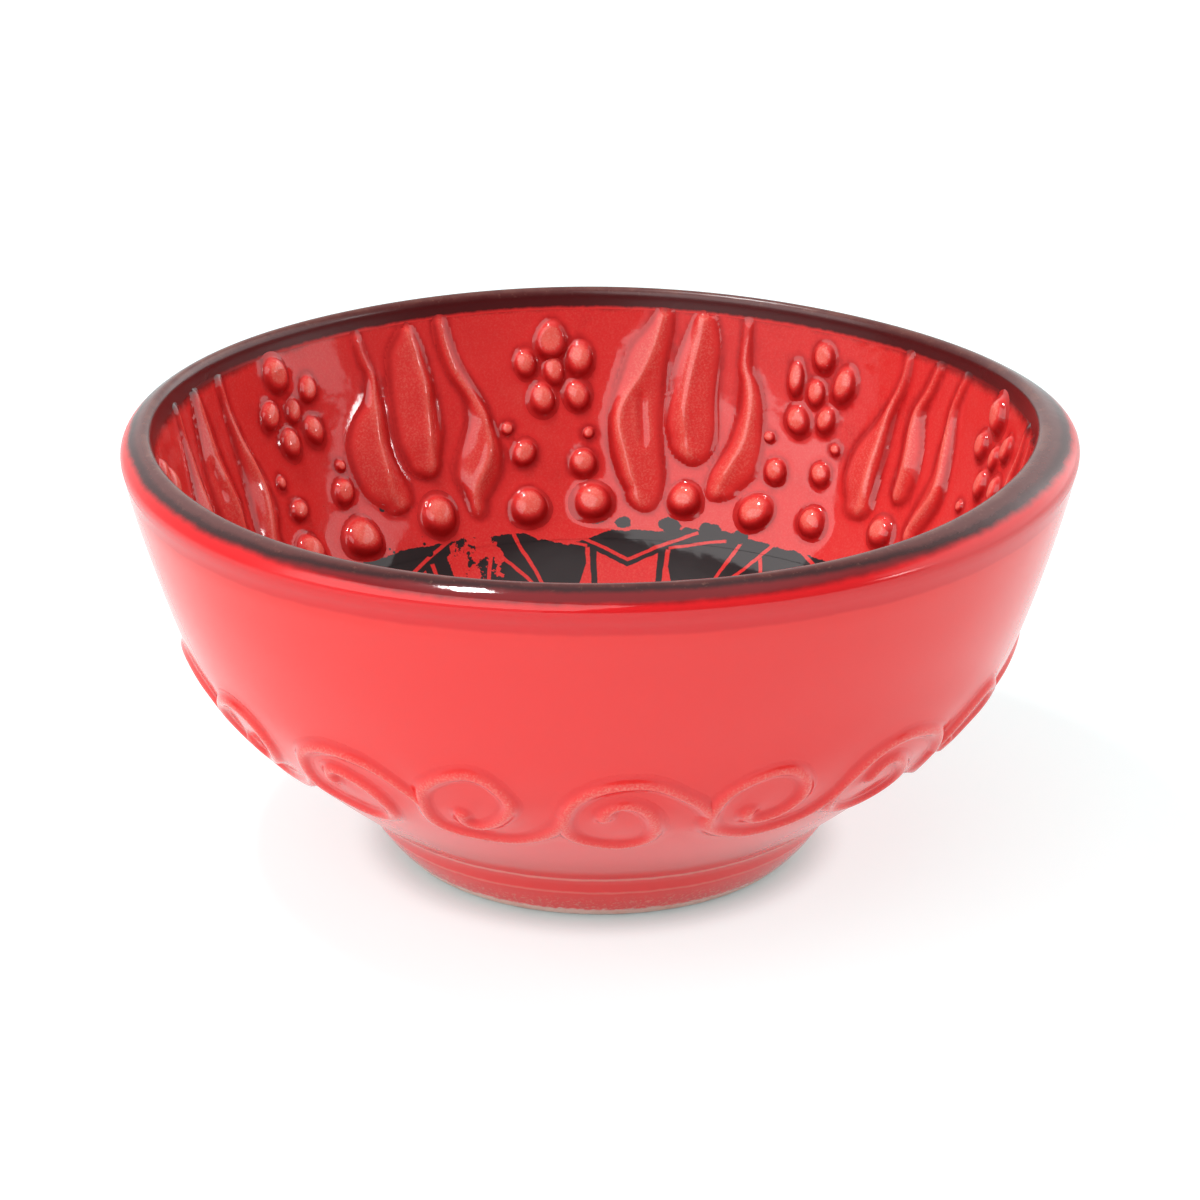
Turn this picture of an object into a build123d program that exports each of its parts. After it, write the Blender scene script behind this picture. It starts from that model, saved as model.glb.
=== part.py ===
from build123d import *

import os
from math import acos, atan2, cos, degrees, radians, sin

# A small footed bowl of fired clay, thrown and turned, with raised slip ornament under a red glaze.
# The frame is millimetres with +Z up. The origin is the middle of the foot, on the surface it stands on.

# Whole vessel
RIM_RADIUS = 60.0
BOWL_HEIGHT = 57.2
LIP_THICKNESS = 4.0
WALL_LEAN_DEG = 12.0
COAT_THICKNESS = 0.35

# Outer wall: two places it passes, as shares from the foot's top out to the rim and up to the lip
UPPER_TURN_SHARES = (0.777, 0.496)
LOWER_TURN_SHARES = (0.527, 0.266)

# Inner wall: two places it passes, as shares of the mouth's radius and of the depth over the floor
INNER_UPPER_SHARES = (0.880, 0.483)
INNER_LOWER_SHARES = (0.643, 0.119)
FLOOR_THICKNESS = 6.2

# Foot ring
FOOT_BASE_RADIUS = 25.8
FOOT_TOP_RADIUS = 30.8
FOOT_HEIGHT = 7.2
FOOT_SIDE_BULGE = 0.6
FOOT_RECESS_DEPTH = 4.6
FOOT_RECESS_TOP_RADIUS = 19.6
FOOT_RIM_WIDTH = 4.6
BARE_FOOT_HEIGHT = 1.2

# Where one colour of coat gives way to the next
RIM_BAND_INSIDE = 3.0
RIM_BAND_OUTSIDE = 4.0
RING_TO_PAINT_DROP = 4.85

# Motifs round the inside: one flower and one tulip in each repeat
REPEATS = 9
TURN_DEG = 360.0
FIRST_FLOWER_DEG = 18.5
MOTIF_STRAY_DEG = 2.8
MOTIF_STRAY_START_DEG = 28.0
STRAY_WAVES = 2

# Heights of the motifs' middles, as shares of the depth from the floor up to the lip
FLOWER_UP_SHARE = 0.744
DOT_UP_SHARES = (0.573, 0.491, 0.371)
RING_BEAD_UP_SHARE = 0.375
TULIP_UP_SHARE = 0.683

# Flower: five beads round a smaller one
FLOWER_REACH = 4.5
FLOWER_PETALS = 5
FLOWER_BEAD_RADIUS = 1.95
FLOWER_HEART_RADIUS = 1.3
FLOWER_TOP_DEG = 90.0

# Pairs of dots under each flower, from the smallest down to the largest; half the gap between the two of a
# pair is a share of half a repeat's width
DOT_RADII = (0.65, 1.45, 2.45)
DOT_HALF_GAP_SHARES = (0.310, 0.236, 0.281)

# Single large bead under each tulip
RING_BEAD_RADIUS = 2.25

# How far a bead's middle lies under the surface it is trailed on, as a share of its radius
BEAD_SINK_SHARE = 0.12

# Tulip: three drop-shaped petals, fat at the bottom. Each goes through three circles, bulb, waist and tip:
# across and radius as shares of half a repeat's width, up as a share of the depth over the floor
PETAL_RADIUS_SHARES = (0.1727, 0.0975, 0.0418)
MIDDLE_PETAL_SHARES = ((0.0, -0.147), (0.0, -0.013), (0.0, 0.263))
SIDE_PETAL_SHARES = ((0.418, -0.203), (0.412, -0.013), (0.329, 0.263))
PETAL_STEP = 0.8
PETAL_THICKNESS = 1.5
PETAL_CREST_INSET = 0.65

# Running vine round the outside: each length has one scroll over the stem and one under it
VINE_SCROLLS = 2 * REPEATS
VINE_FIRST_DEG = -115.4
VINE_MIDDLE_HEIGHT = 24.9
VINE_WIDTH = 2.4
VINE_CREST_WIDTH = 1.2
VINE_STEP = 0.55
VINE_THICKNESS = 1.0
VINE_HALF_SPAN = 7.1
SCROLL_EYE_RADIUS = 1.15
# The scroll's turning points: along as a share of half the scroll's width, up as a share of half its span
SCROLL_SHARES = ((-0.35, 1.0), (0.31, 0.22), (-0.14, -0.42), (-0.45, -0.08))
STEM_LOW_SHARES = (-0.17, -1.0)

# Room for cutting tools beyond the clay
OVERRUN = 10.0

# Where the seam of a turned cutting space lies, away from the slip that it trims
SEAM_DEG = 180.0

# Times that a search along the wall halves its step
HALVINGS = 40


def along_outer(shares):
    """A place on the outer wall, between the foot's top and the rim."""
    out = FOOT_TOP_RADIUS + shares[0] * (RIM_RADIUS - FOOT_TOP_RADIUS)
    up = FOOT_HEIGHT + shares[1] * (BOWL_HEIGHT - FOOT_HEIGHT)
    return (out, up)


def depth_inside():
    """How far the lip stands over the floor."""
    return BOWL_HEIGHT - FOOT_RECESS_DEPTH - FLOOR_THICKNESS


def height_inside(share):
    """A height between the floor and the lip."""
    return FOOT_RECESS_DEPTH + FLOOR_THICKNESS + share * depth_inside()


def along_inner(shares):
    """A place on the inner wall, between the floor and the mouth."""
    return (shares[0] * (RIM_RADIUS - LIP_THICKNESS), height_inside(shares[1]))


def lip_point(turn_deg):
    """A place on the round lip, its angle taken from straight out."""
    round_radius = LIP_THICKNESS / 2
    out = RIM_RADIUS - round_radius + round_radius * cos(radians(turn_deg))
    up = BOWL_HEIGHT - round_radius + round_radius * sin(radians(turn_deg))
    return (out, up)


def foot_side_point(height):
    """A place on the foot's side, which swells a little between its base and its top."""
    share = height / FOOT_HEIGHT
    out = FOOT_BASE_RADIUS + share * (FOOT_TOP_RADIUS - FOOT_BASE_RADIUS)
    return (out + FOOT_SIDE_BULGE * 4 * share * (1 - share), height)


def chain(start, heading, stops):
    """Arcs that run smoothly from one stop to the next, from a start with a heading."""
    edges = []
    for stop in stops:
        edge = TangentArc(start, stop, tangent=heading)
        edges.append(edge)
        start = stop
        heading = edge % 1
    return edges


def outer_edges():
    """The glazed outside, from the lip down to the foot's top."""
    down = (-sin(radians(WALL_LEAN_DEG)), -cos(radians(WALL_LEAN_DEG)))
    stops = [along_outer(UPPER_TURN_SHARES), along_outer(LOWER_TURN_SHARES), (FOOT_TOP_RADIUS, FOOT_HEIGHT)]
    return chain(lip_point(-WALL_LEAN_DEG), down, stops)


def foot_side_edges():
    """The foot's side, from its top down to the surface that it stands on."""
    middle = foot_side_point(FOOT_HEIGHT / 2)
    return [ThreePointArc((FOOT_TOP_RADIUS, FOOT_HEIGHT), middle, (FOOT_BASE_RADIUS, 0))]


def inner_wall_edges():
    """The inside, from the lip down to where the floor is level."""
    down = (-sin(radians(WALL_LEAN_DEG)), -cos(radians(WALL_LEAN_DEG)))
    low = along_inner(INNER_LOWER_SHARES)
    edges = chain(lip_point(180 - WALL_LEAN_DEG), down, [along_inner(INNER_UPPER_SHARES), low])
    heading = edges[-1] % 1
    sweep = atan2(-heading.Y, -heading.X)
    floor = height_inside(0)
    level_at = low[0] - (low[1] - floor) * sin(sweep) / (1 - cos(sweep))
    return edges + chain(low, heading, [(level_at, floor)])


def inner_edges():
    """The inside, from the lip down and across to the middle of the floor."""
    wall = inner_wall_edges()
    floor = height_inside(0)
    return wall + [Line(wall[-1] @ 1, (0, floor))]


def lip_edges():
    """The rounded lip, from the inside over to the outside."""
    return [ThreePointArc(lip_point(180 - WALL_LEAN_DEG), lip_point(90 - WALL_LEAN_DEG), lip_point(-WALL_LEAN_DEG))]


def underside_edges():
    """The bare foot rim and the recess inside it, from the foot's side to the middle."""
    corners = [
        (FOOT_BASE_RADIUS, 0),
        (FOOT_BASE_RADIUS - FOOT_RIM_WIDTH, 0),
        (FOOT_RECESS_TOP_RADIUS, FOOT_RECESS_DEPTH),
        (0, FOOT_RECESS_DEPTH),
    ]
    return list(Polyline(corners).edges())


def outline_face():
    """Half of the whole vessel's section, coats and foot included."""
    floor = height_inside(0)
    axis_side = [Line((0, FOOT_RECESS_DEPTH), (0, floor))]
    edges = inner_edges() + lip_edges() + outer_edges() + foot_side_edges() + underside_edges() + axis_side
    return make_face(edges)


def moved_aside(edge, distance):
    """The same line or arc moved to its left by a distance, or to its right by a negative one."""
    points = []
    for share in (0, 0.5, 1):
        along = edge % share
        points.append((edge @ share) + Vector(-along.Y, along.X) * distance)
    if edge.geom_type == GeomType.LINE:
        return Line(points[0], points[2])
    return ThreePointArc(*points)


def band_along(edges, distance):
    """A band of even thickness beside a smooth line, on its left."""
    far_side = [moved_aside(edge, distance) for edge in edges]
    ends = [Line(edges[0] @ 0, far_side[0] @ 0), Line(edges[-1] @ 1, far_side[-1] @ 1)]
    return make_face(edges + far_side + ends)


def coat_under(edges, clay_side):
    """The glaze's thickness under a stretch of the visible outline; the clay is left of it at 1, right at -1."""
    return band_along(edges, clay_side * COAT_THICKNESS)


def foot_coat():
    """The glaze on the foot's side, down to where it was wiped off."""
    corner = Pos(FOOT_TOP_RADIUS, FOOT_HEIGHT) * Circle(COAT_THICKNESS)
    bare = box_between((0, 0), (RIM_RADIUS, BARE_FOOT_HEIGHT))
    return (coat_under(foot_side_edges(), -1) + corner) & outline_face() - bare


def coat_band():
    """The glaze, from the middle of the floor over the lip and down to the foot."""
    return coat_under(inner_edges(), 1) + coat_under(lip_edges() + outer_edges(), -1) + foot_coat()


def box_between(low, high):
    """A plain rectangle between two corners."""
    width = high[0] - low[0]
    height = high[1] - low[1]
    return Pos(low[0] + width / 2, low[1] + height / 2) * Rectangle(width, height)


def turned(face):
    """A section turned all the way round the vessel's axis."""
    return revolve(Plane.XZ * face, Axis.Z)


def clay_body():
    """The thrown wall and floor, above the foot ring."""
    above = box_between((0, FOOT_RECESS_DEPTH), (RIM_RADIUS + OVERRUN, BOWL_HEIGHT + OVERRUN))
    return turned((outline_face() - coat_band()) & above)


def foot_ring():
    """The ring that the bowl stands on."""
    below = box_between((0, 0), (RIM_RADIUS, FOOT_RECESS_DEPTH))
    return turned((outline_face() - coat_band()) & below)


def coats():
    """The four colours of glaze, each its own ring: outside, rim, inside and floor."""
    far = RIM_RADIUS + OVERRUN
    inside = coat_under(inner_edges(), 1)
    outside = coat_under(outer_edges(), -1)
    over_inside = box_between((0, BOWL_HEIGHT - RIM_BAND_INSIDE), (far, BOWL_HEIGHT))
    over_outside = box_between((0, BOWL_HEIGHT - RIM_BAND_OUTSIDE), (far, BOWL_HEIGHT))
    paint_edge = place_on(inner_wall_edges(), height_inside(RING_BEAD_UP_SHARE) - RING_TO_PAINT_DROP, outward=False)
    disc = box_between((0, 0), (paint_edge.origin.X, BOWL_HEIGHT))
    return {
        "outer_glaze": turned(outside - over_outside + foot_coat()),
        "rim_glaze": turned(coat_under(lip_edges(), -1) + (inside & over_inside) + (outside & over_outside)),
        "inner_glaze": turned(inside - over_inside - disc),
        "floor_medallion": turned(inside & disc),
    }


def place_on(edges, height, outward):
    """The plane that touches a turned surface at a height, over the X axis, facing off the clay."""
    line = Wire(edges)
    low, high = 0.0, 1.0
    rising = (line @ 1).Y > (line @ 0).Y
    for _ in range(HALVINGS):
        middle = (low + high) / 2
        if ((line @ middle).Y < height) == rising:
            low = middle
        else:
            high = middle
    point = line @ low
    along = line % low
    slope = along if rising else -along
    facing = Vector(slope.Y, 0, -slope.X) if outward else Vector(-slope.Y, 0, slope.X)
    side = Vector(0, 1, 0) if outward else Vector(0, -1, 0)
    return Plane(origin=(point.X, 0, point.Y), x_dir=side, z_dir=facing)


def half_repeat(height):
    """Half the width of one repeat of the pattern, on the inner wall at a height."""
    return place_on(inner_wall_edges(), height, outward=False).origin.X * sin(radians(TURN_DEG / REPEATS / 2))


def turn_by(shape, angle_deg):
    """A copy turned about the vessel's axis."""
    return Rot(0, 0, angle_deg) * shape


def hollow():
    """The space inside the bowl, down to the glaze."""
    mouth = lip_point(180 - WALL_LEAN_DEG)
    lid = Polyline([mouth, (mouth[0], BOWL_HEIGHT), (0, BOWL_HEIGHT), (0, height_inside(0))])
    return turn_by(turned(make_face(inner_edges() + list(lid.edges()))), SEAM_DEG)


def bead(space, radius, height):
    """One round drop of slip on the inner wall, over the X axis."""
    seat = place_on(inner_wall_edges(), height, outward=False)
    ball = seat * Pos(0, 0, -BEAD_SINK_SHARE * radius) * Sphere(radius)
    return ball & space


def flower_beads(space):
    """Five beads round a smaller one, over the X axis."""
    middle = height_inside(FLOWER_UP_SHARE)
    seat = place_on(inner_wall_edges(), middle, outward=False)
    beads = [bead(space, FLOWER_HEART_RADIUS, middle)]
    for step in range(FLOWER_PETALS):
        turn = radians(FLOWER_TOP_DEG + step * TURN_DEG / FLOWER_PETALS)
        one = bead(space, FLOWER_BEAD_RADIUS, middle + FLOWER_REACH * sin(turn) * seat.y_dir.Z)
        beads.append(turn_by(one, degrees(FLOWER_REACH * cos(turn) / seat.origin.X)))
    return beads


def dot_beads(space):
    """Three pairs of dots, over the X axis."""
    beads = []
    for radius, up_share, gap_share in zip(DOT_RADII, DOT_UP_SHARES, DOT_HALF_GAP_SHARES):
        height = height_inside(up_share)
        one = bead(space, radius, height)
        out = place_on(inner_wall_edges(), height, outward=False).origin.X
        swing = degrees(gap_share * half_repeat(height) / out)
        beads.append(turn_by(one, swing))
        beads.append(turn_by(one, -swing))
    return beads


def drop_outline(stations):
    """A drop shape through circles given as (across, up, radius)."""
    shape = Sketch()
    for across, up, radius in stations:
        shape += Pos(across, up) * Circle(radius)
    for first, second in zip(stations, stations[1:]):
        reach = (second[0] - first[0], second[1] - first[1])
        length = (reach[0] ** 2 + reach[1] ** 2) ** 0.5
        heading = atan2(reach[1], reach[0])
        spread = acos((first[2] - second[2]) / length)
        corners = []
        for one, sign in ((first, 1), (second, 1), (second, -1), (first, -1)):
            angle = heading + sign * spread
            corners.append((one[0] + one[2] * cos(angle), one[1] + one[2] * sin(angle)))
        shape += make_face(Polyline(*corners, close=True))
    return shape


def raised(outline, seat, edges, thickness, arc_deg):
    """An outline raised off a turned surface to the left of its line by an even thickness, over the X axis."""
    shell = revolve(Plane.XZ * band_along(edges, thickness), Axis.Z, revolution_arc=arc_deg)
    shell = turn_by(shell, -arc_deg / 2)
    return extrude(seat * outline, amount=OVERRUN, both=True) & shell


def petal(place_shares, side):
    """One petal of a tulip, over the X axis: a low step with a narrower crest on it."""
    middle = height_inside(TULIP_UP_SHARE)
    seat = place_on(inner_wall_edges(), middle, outward=False)
    width = half_repeat(middle)
    stations = []
    for (across, up), radius in zip(place_shares, PETAL_RADIUS_SHARES):
        stations.append((side * across * width, up * depth_inside(), radius * width))
    arc_deg = TURN_DEG / REPEATS
    low = raised(drop_outline(stations), seat, inner_wall_edges(), -PETAL_STEP, arc_deg)
    inner_stations = [(across, up, radius - PETAL_CREST_INSET) for across, up, radius in stations[:2]]
    high = raised(drop_outline(inner_stations), seat, inner_wall_edges(), -PETAL_THICKNESS, arc_deg)
    return low + high


def tulip_petals():
    """A middle petal between two that lean out, over the X axis."""
    return [petal(MIDDLE_PETAL_SHARES, 1), petal(SIDE_PETAL_SHARES, -1), petal(SIDE_PETAL_SHARES, 1)]


def scroll_lines(half_width, flip):
    """The stem and the scroll of one stretch of vine, in the flat; flip turns them upside down."""
    start = (-half_width, 0)
    scroll_stops = [(half_width * across, flip * VINE_HALF_SPAN * up) for across, up in SCROLL_SHARES]
    stem_low = (half_width * STEM_LOW_SHARES[0], flip * VINE_HALF_SPAN * STEM_LOW_SHARES[1])
    scroll = chain(start, (0, flip), scroll_stops)
    stem = chain(start, (0, -flip), [stem_low, (half_width, 0)])
    return scroll, stem, scroll_stops[-1]


def vine_stretch(flip):
    """One scroll and its stretch of stem on the outer wall, over the X axis."""
    edges = outer_edges()
    seat = place_on(edges, VINE_MIDDLE_HEIGHT, outward=True)
    arc_deg = TURN_DEG / VINE_SCROLLS
    half_width = seat.origin.X * sin(radians(arc_deg / 2))
    scroll, stem, eye = scroll_lines(half_width, flip)
    stretch = None
    for width, thickness in ((VINE_WIDTH, VINE_STEP), (VINE_CREST_WIDTH, VINE_THICKNESS)):
        outline = Pos(eye[0], eye[1]) * Circle(SCROLL_EYE_RADIUS * width / VINE_WIDTH)
        outline += Pos(-half_width, 0) * Circle(width / 2) + Pos(half_width, 0) * Circle(width / 2)
        for line in (scroll, stem):
            outline += trace(line, width)
        layer = raised(outline, seat, edges, thickness, arc_deg)
        stretch = layer if stretch is None else stretch + layer
    return stretch


def vine_length():
    """Two stretches of vine, the first scroll over the stem and the second under it."""
    arc_deg = TURN_DEG / VINE_SCROLLS
    return turn_by(vine_stretch(1), arc_deg / 2) + turn_by(vine_stretch(-1), 3 * arc_deg / 2)


def strayed(angle_deg):
    """Where the maker's hand set a motif that was meant for an angle."""
    return angle_deg - MOTIF_STRAY_DEG * sin(radians(STRAY_WAVES * (angle_deg - MOTIF_STRAY_START_DEG)))


def build():
    """Every piece by its name."""
    pieces = {"clay_body": clay_body(), "foot_ring": foot_ring()}
    pieces.update(coats())
    space = hollow()
    flower = flower_beads(space)
    dots = dot_beads(space)
    ring_bead = bead(space, RING_BEAD_RADIUS, height_inside(RING_BEAD_UP_SHARE))
    tulip = tulip_petals()
    vine = vine_length()
    pitch = TURN_DEG / REPEATS
    for number in range(REPEATS):
        flower_at = strayed(FIRST_FLOWER_DEG + number * pitch)
        tulip_at = strayed(FIRST_FLOWER_DEG + (number + 0.5) * pitch)
        name = str(number + 1)
        pieces["flower_" + name] = Compound([turn_by(one, flower_at) for one in flower])
        pieces["dot_pairs_" + name] = Compound([turn_by(one, flower_at) for one in dots])
        pieces["tulip_" + name] = Compound([turn_by(one, tulip_at) for one in tulip])
        pieces["ring_bead_" + name] = turn_by(ring_bead, tulip_at)
        pieces["vine_" + name] = turn_by(vine, VINE_FIRST_DEG + number * pitch)
    return pieces


os.makedirs("parts", exist_ok=True)
for node, shape in build().items():
    export_step(shape, "parts/" + node + ".step")
    print(node, len(shape.solids()), round(shape.volume, 2))
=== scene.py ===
# A small footed bowl of red-glazed clay with trailed slip ornament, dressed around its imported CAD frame.
# Sizes in the classes are millimetres, and meshes are written in metres. +Z is up, and the foot stands on z = 0.

import logging
import math
from contextlib import contextmanager
from dataclasses import dataclass, field, replace
from enum import Enum
from typing import Callable, Iterator, Optional, Sequence, Union

import bpy
import numpy as np
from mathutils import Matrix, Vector


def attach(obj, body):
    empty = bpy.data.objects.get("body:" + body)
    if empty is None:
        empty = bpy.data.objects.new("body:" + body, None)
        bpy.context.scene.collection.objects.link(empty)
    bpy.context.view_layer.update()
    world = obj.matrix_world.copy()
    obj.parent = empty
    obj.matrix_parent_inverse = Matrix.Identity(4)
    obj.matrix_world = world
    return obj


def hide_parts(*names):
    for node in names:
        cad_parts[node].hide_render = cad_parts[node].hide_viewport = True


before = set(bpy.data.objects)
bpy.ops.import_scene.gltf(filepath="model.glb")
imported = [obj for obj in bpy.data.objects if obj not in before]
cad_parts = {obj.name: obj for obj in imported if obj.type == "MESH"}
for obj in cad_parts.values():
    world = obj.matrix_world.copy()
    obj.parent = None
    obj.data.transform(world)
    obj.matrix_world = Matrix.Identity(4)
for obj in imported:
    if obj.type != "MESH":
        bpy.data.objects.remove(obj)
LOG = logging.getLogger("bowl")

MM = 0.001
TURN = 2.0 * math.pi
DEGREES = 180.0 / math.pi

# Values stored on the meshes: how thin the glaze is, with painted light and shade on the beads as well, and the lengths
# up from the rim's band and over its crest.
GLAZE = "glaze"
RIM = "rim"
OVER = "over"
FAR_FROM_RIM = -40.0

# How far a coat and its slip are sunk below their outlines, and how thick a sheet of slip is.
COAT_SINK = 0.05
SHEET_SINK = 0.035
BEAD_SINK = 0.02
SHEET_THICKNESS = 0.22

Colour = tuple[float, float, float]
Point = tuple[float, float]
Places = tuple[np.ndarray, np.ndarray, np.ndarray]


class Slot(Enum):
    """The record's slot that a piece's finish belongs to."""

    CLAY = "clay"
    RIM = "rim_brown"
    INNER = "inner_red"
    PAINT = "medallion_black"
    OUTER = "outer_red"
    SLIP = "raised_slip"
    VINE = "vine_slip"


# ---------------------------------------------------------------- outlines


def arc_points(start: Point, heading: Point, end: Point, count: int) -> tuple[np.ndarray, Point]:
    """Lay points along an arc that leaves a place with a heading.

    Args:
        start: Where the arc begins.
        heading: Its direction there.
        end: Where it ends.
        count: Number of steps along it.

    Returns:
        The points after the first, and the heading at the end.
    """
    chord = np.subtract(end, start)
    ahead = np.array(heading) / np.linalg.norm(heading)
    left = np.array((-ahead[1], ahead[0]))
    across = float(chord @ left)
    sweep = 2.0 * math.atan2(across, float(chord @ ahead))
    share = np.arange(1, count + 1)[:, None] / count
    if abs(sweep) < 1e-6:
        return np.array(start) + share * chord, (ahead[0], ahead[1])
    radius = float(chord @ chord) / (2.0 * across)
    centre = np.array(start) + left * radius
    turn = sweep * share
    spoke = -left * radius
    points = centre + np.hstack(
        (np.cos(turn) * spoke[0] - np.sin(turn) * spoke[1], np.sin(turn) * spoke[0] + np.cos(turn) * spoke[1])
    )
    final = (
        math.cos(sweep) * ahead[0] - math.sin(sweep) * ahead[1],
        math.sin(sweep) * ahead[0] + math.cos(sweep) * ahead[1],
    )
    return points, final


def arc_chain(start: Point, heading: Point, stops: Sequence[Point], count: int = 40) -> np.ndarray:
    """Join arcs smoothly through stops.

    Args:
        start: Where the line begins.
        heading: Its direction there.
        stops: The places that it passes.
        count: Steps along each arc.

    Returns:
        The points of the whole line, one per row.
    """
    rows = [np.array([start], float)]
    place = start
    for stop in stops:
        points, heading = arc_points(place, heading, stop, count)
        rows.append(points)
        place = stop
    return np.vstack(rows)


def smooth_step(value: np.ndarray, low: float, high: float) -> np.ndarray:
    """Rise smoothly from 0 at low to 1 at high."""
    share = np.clip((value - low) / (high - low), 0.0, 1.0)
    return share * share * (3.0 - 2.0 * share)


def bell(value: np.ndarray, reach: float) -> np.ndarray:
    """Give a smooth bump, 1 at zero."""
    return np.exp(-((value / reach) ** 2))


def lengths(line: np.ndarray) -> np.ndarray:
    """Give the length from a line's start to each of its points."""
    return np.concatenate(([0.0], np.cumsum(np.linalg.norm(np.diff(line, axis=0), axis=1))))


def swing_from(angle: np.ndarray, at_deg: float) -> np.ndarray:
    """Give how far angles in radians are from one in degrees, the short way round."""
    return np.remainder(np.asarray(angle) - math.radians(at_deg) + math.pi, TURN) - math.pi


def polar(points: np.ndarray) -> Places:
    """Give the distance from the axis, the angle and the height of places in space."""
    return np.hypot(points[:, 0], points[:, 1]), np.arctan2(points[:, 1], points[:, 0]), points[:, 2]


def around(away: np.ndarray, turn: np.ndarray, level: np.ndarray) -> np.ndarray:
    """Give places in space from distances off the axis, angles and heights."""
    return np.stack((away * np.cos(turn), away * np.sin(turn), level), 1)


def ripple(x: np.ndarray, y: np.ndarray, z: np.ndarray, size: float, seed: float) -> np.ndarray:
    """Give a smooth, uneven value between about -1 and 1 for places in space.

    Args:
        x: First coordinate in millimetres.
        y: Second coordinate.
        z: Third coordinate.
        size: Rough distance from one swell to the next.
        seed: Number that makes one pattern differ from another.

    Returns:
        One value for each place.
    """
    total = np.zeros(np.broadcast(x, y, z).shape)
    for step in range(6):
        turn = 2.399963 * (step + 1) + seed
        tilt = 1.1 * math.sin(1.7 * step + 2.3 * seed)
        reach = TURN / size * (0.75 + 0.13 * step)
        along = math.cos(turn) * math.cos(tilt) * x + math.sin(turn) * math.cos(tilt) * y + math.sin(tilt) * z
        total += np.sin(reach * along + 5.1 * step + 3.7 * seed)
    return total / 3.2


def even_line(stations: Sequence[Sequence[float]], step: float) -> np.ndarray:
    """Draw a smooth line through stations, with whatever values they carry.

    Args:
        stations: Rows of across, up and further values.
        step: Distance between the points returned.

    Returns:
        Rows like the stations, evenly spaced.
    """
    rows = np.array(stations, float)
    ends = np.vstack((2 * rows[0] - rows[1], rows, 2 * rows[-1] - rows[-2]))
    fine = []
    for index in range(1, len(ends) - 2):
        before, here, after, later = ends[index - 1 : index + 3]
        share = np.linspace(0.0, 1.0, 24, endpoint=False)[:, None]
        fine.append(
            0.5
            * (
                2.0 * here
                + (after - before) * share
                + (2.0 * before - 5.0 * here + 4.0 * after - later) * share**2
                + (3.0 * here - before - 3.0 * after + later) * share**3
            )
        )
    curve = np.vstack(fine + [rows[-1:]])
    run = lengths(curve[:, :2])
    even = np.linspace(0.0, run[-1], max(3, int(run[-1] / step)))
    return np.stack([np.interp(even, run, curve[:, axis]) for axis in range(curve.shape[1])], 1)


@dataclass(frozen=True)
class Wave:
    """One swell of the uneven lip: times round, height in millimetres, and where it peaks."""

    times: int
    height: float
    peak_deg: float


@dataclass(frozen=True)
class UnevenLip:
    """How far the thrown lip strays from level."""

    middle_drop: float = 0.62
    top: float = 57.2
    begins_at: float = 26.0
    thicker: tuple[tuple[float, float, float], ...] = ((2.1, -22.0, 38.0), (0.9, -140.0, 32.0))
    waves: tuple[Wave, ...] = (
        Wave(1, 0.15, -53.0),
        Wave(2, 0.42, -28.0),
        Wave(3, 0.09, -16.0),
        Wave(4, 0.22, -4.0),
    )

    def lift(self, angle: np.ndarray, height: np.ndarray) -> np.ndarray:
        """Give how far a place on the wall is moved up.

        Args:
            angle: Angle round the axis in radians.
            height: Height before the move.

        Returns:
            The move up in millimetres, mostly a drop.
        """
        stray = np.full(np.shape(angle), -self.middle_drop)
        for wave in self.waves:
            stray = stray + wave.height * np.cos(wave.times * (angle - math.radians(wave.peak_deg)))
        share = smooth_step(np.asarray(height, float), self.begins_at, self.top)
        return np.minimum(stray, 0.0) * share

    def swell(self, angle: np.ndarray, height: np.ndarray) -> np.ndarray:
        """Give how far the wall was left thicker inwards at one side.

        Args:
            angle: Angle round the axis in radians.
            height: Height before any move.

        Returns:
            The move inwards in millimetres.
        """
        total = np.zeros(np.shape(angle))
        for depth, at_deg, reach_deg in self.thicker:
            total = total + depth * bell(swing_from(angle, at_deg), math.radians(reach_deg))
        return total * smooth_step(np.asarray(height, float), 32.0, 55.0)


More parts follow.
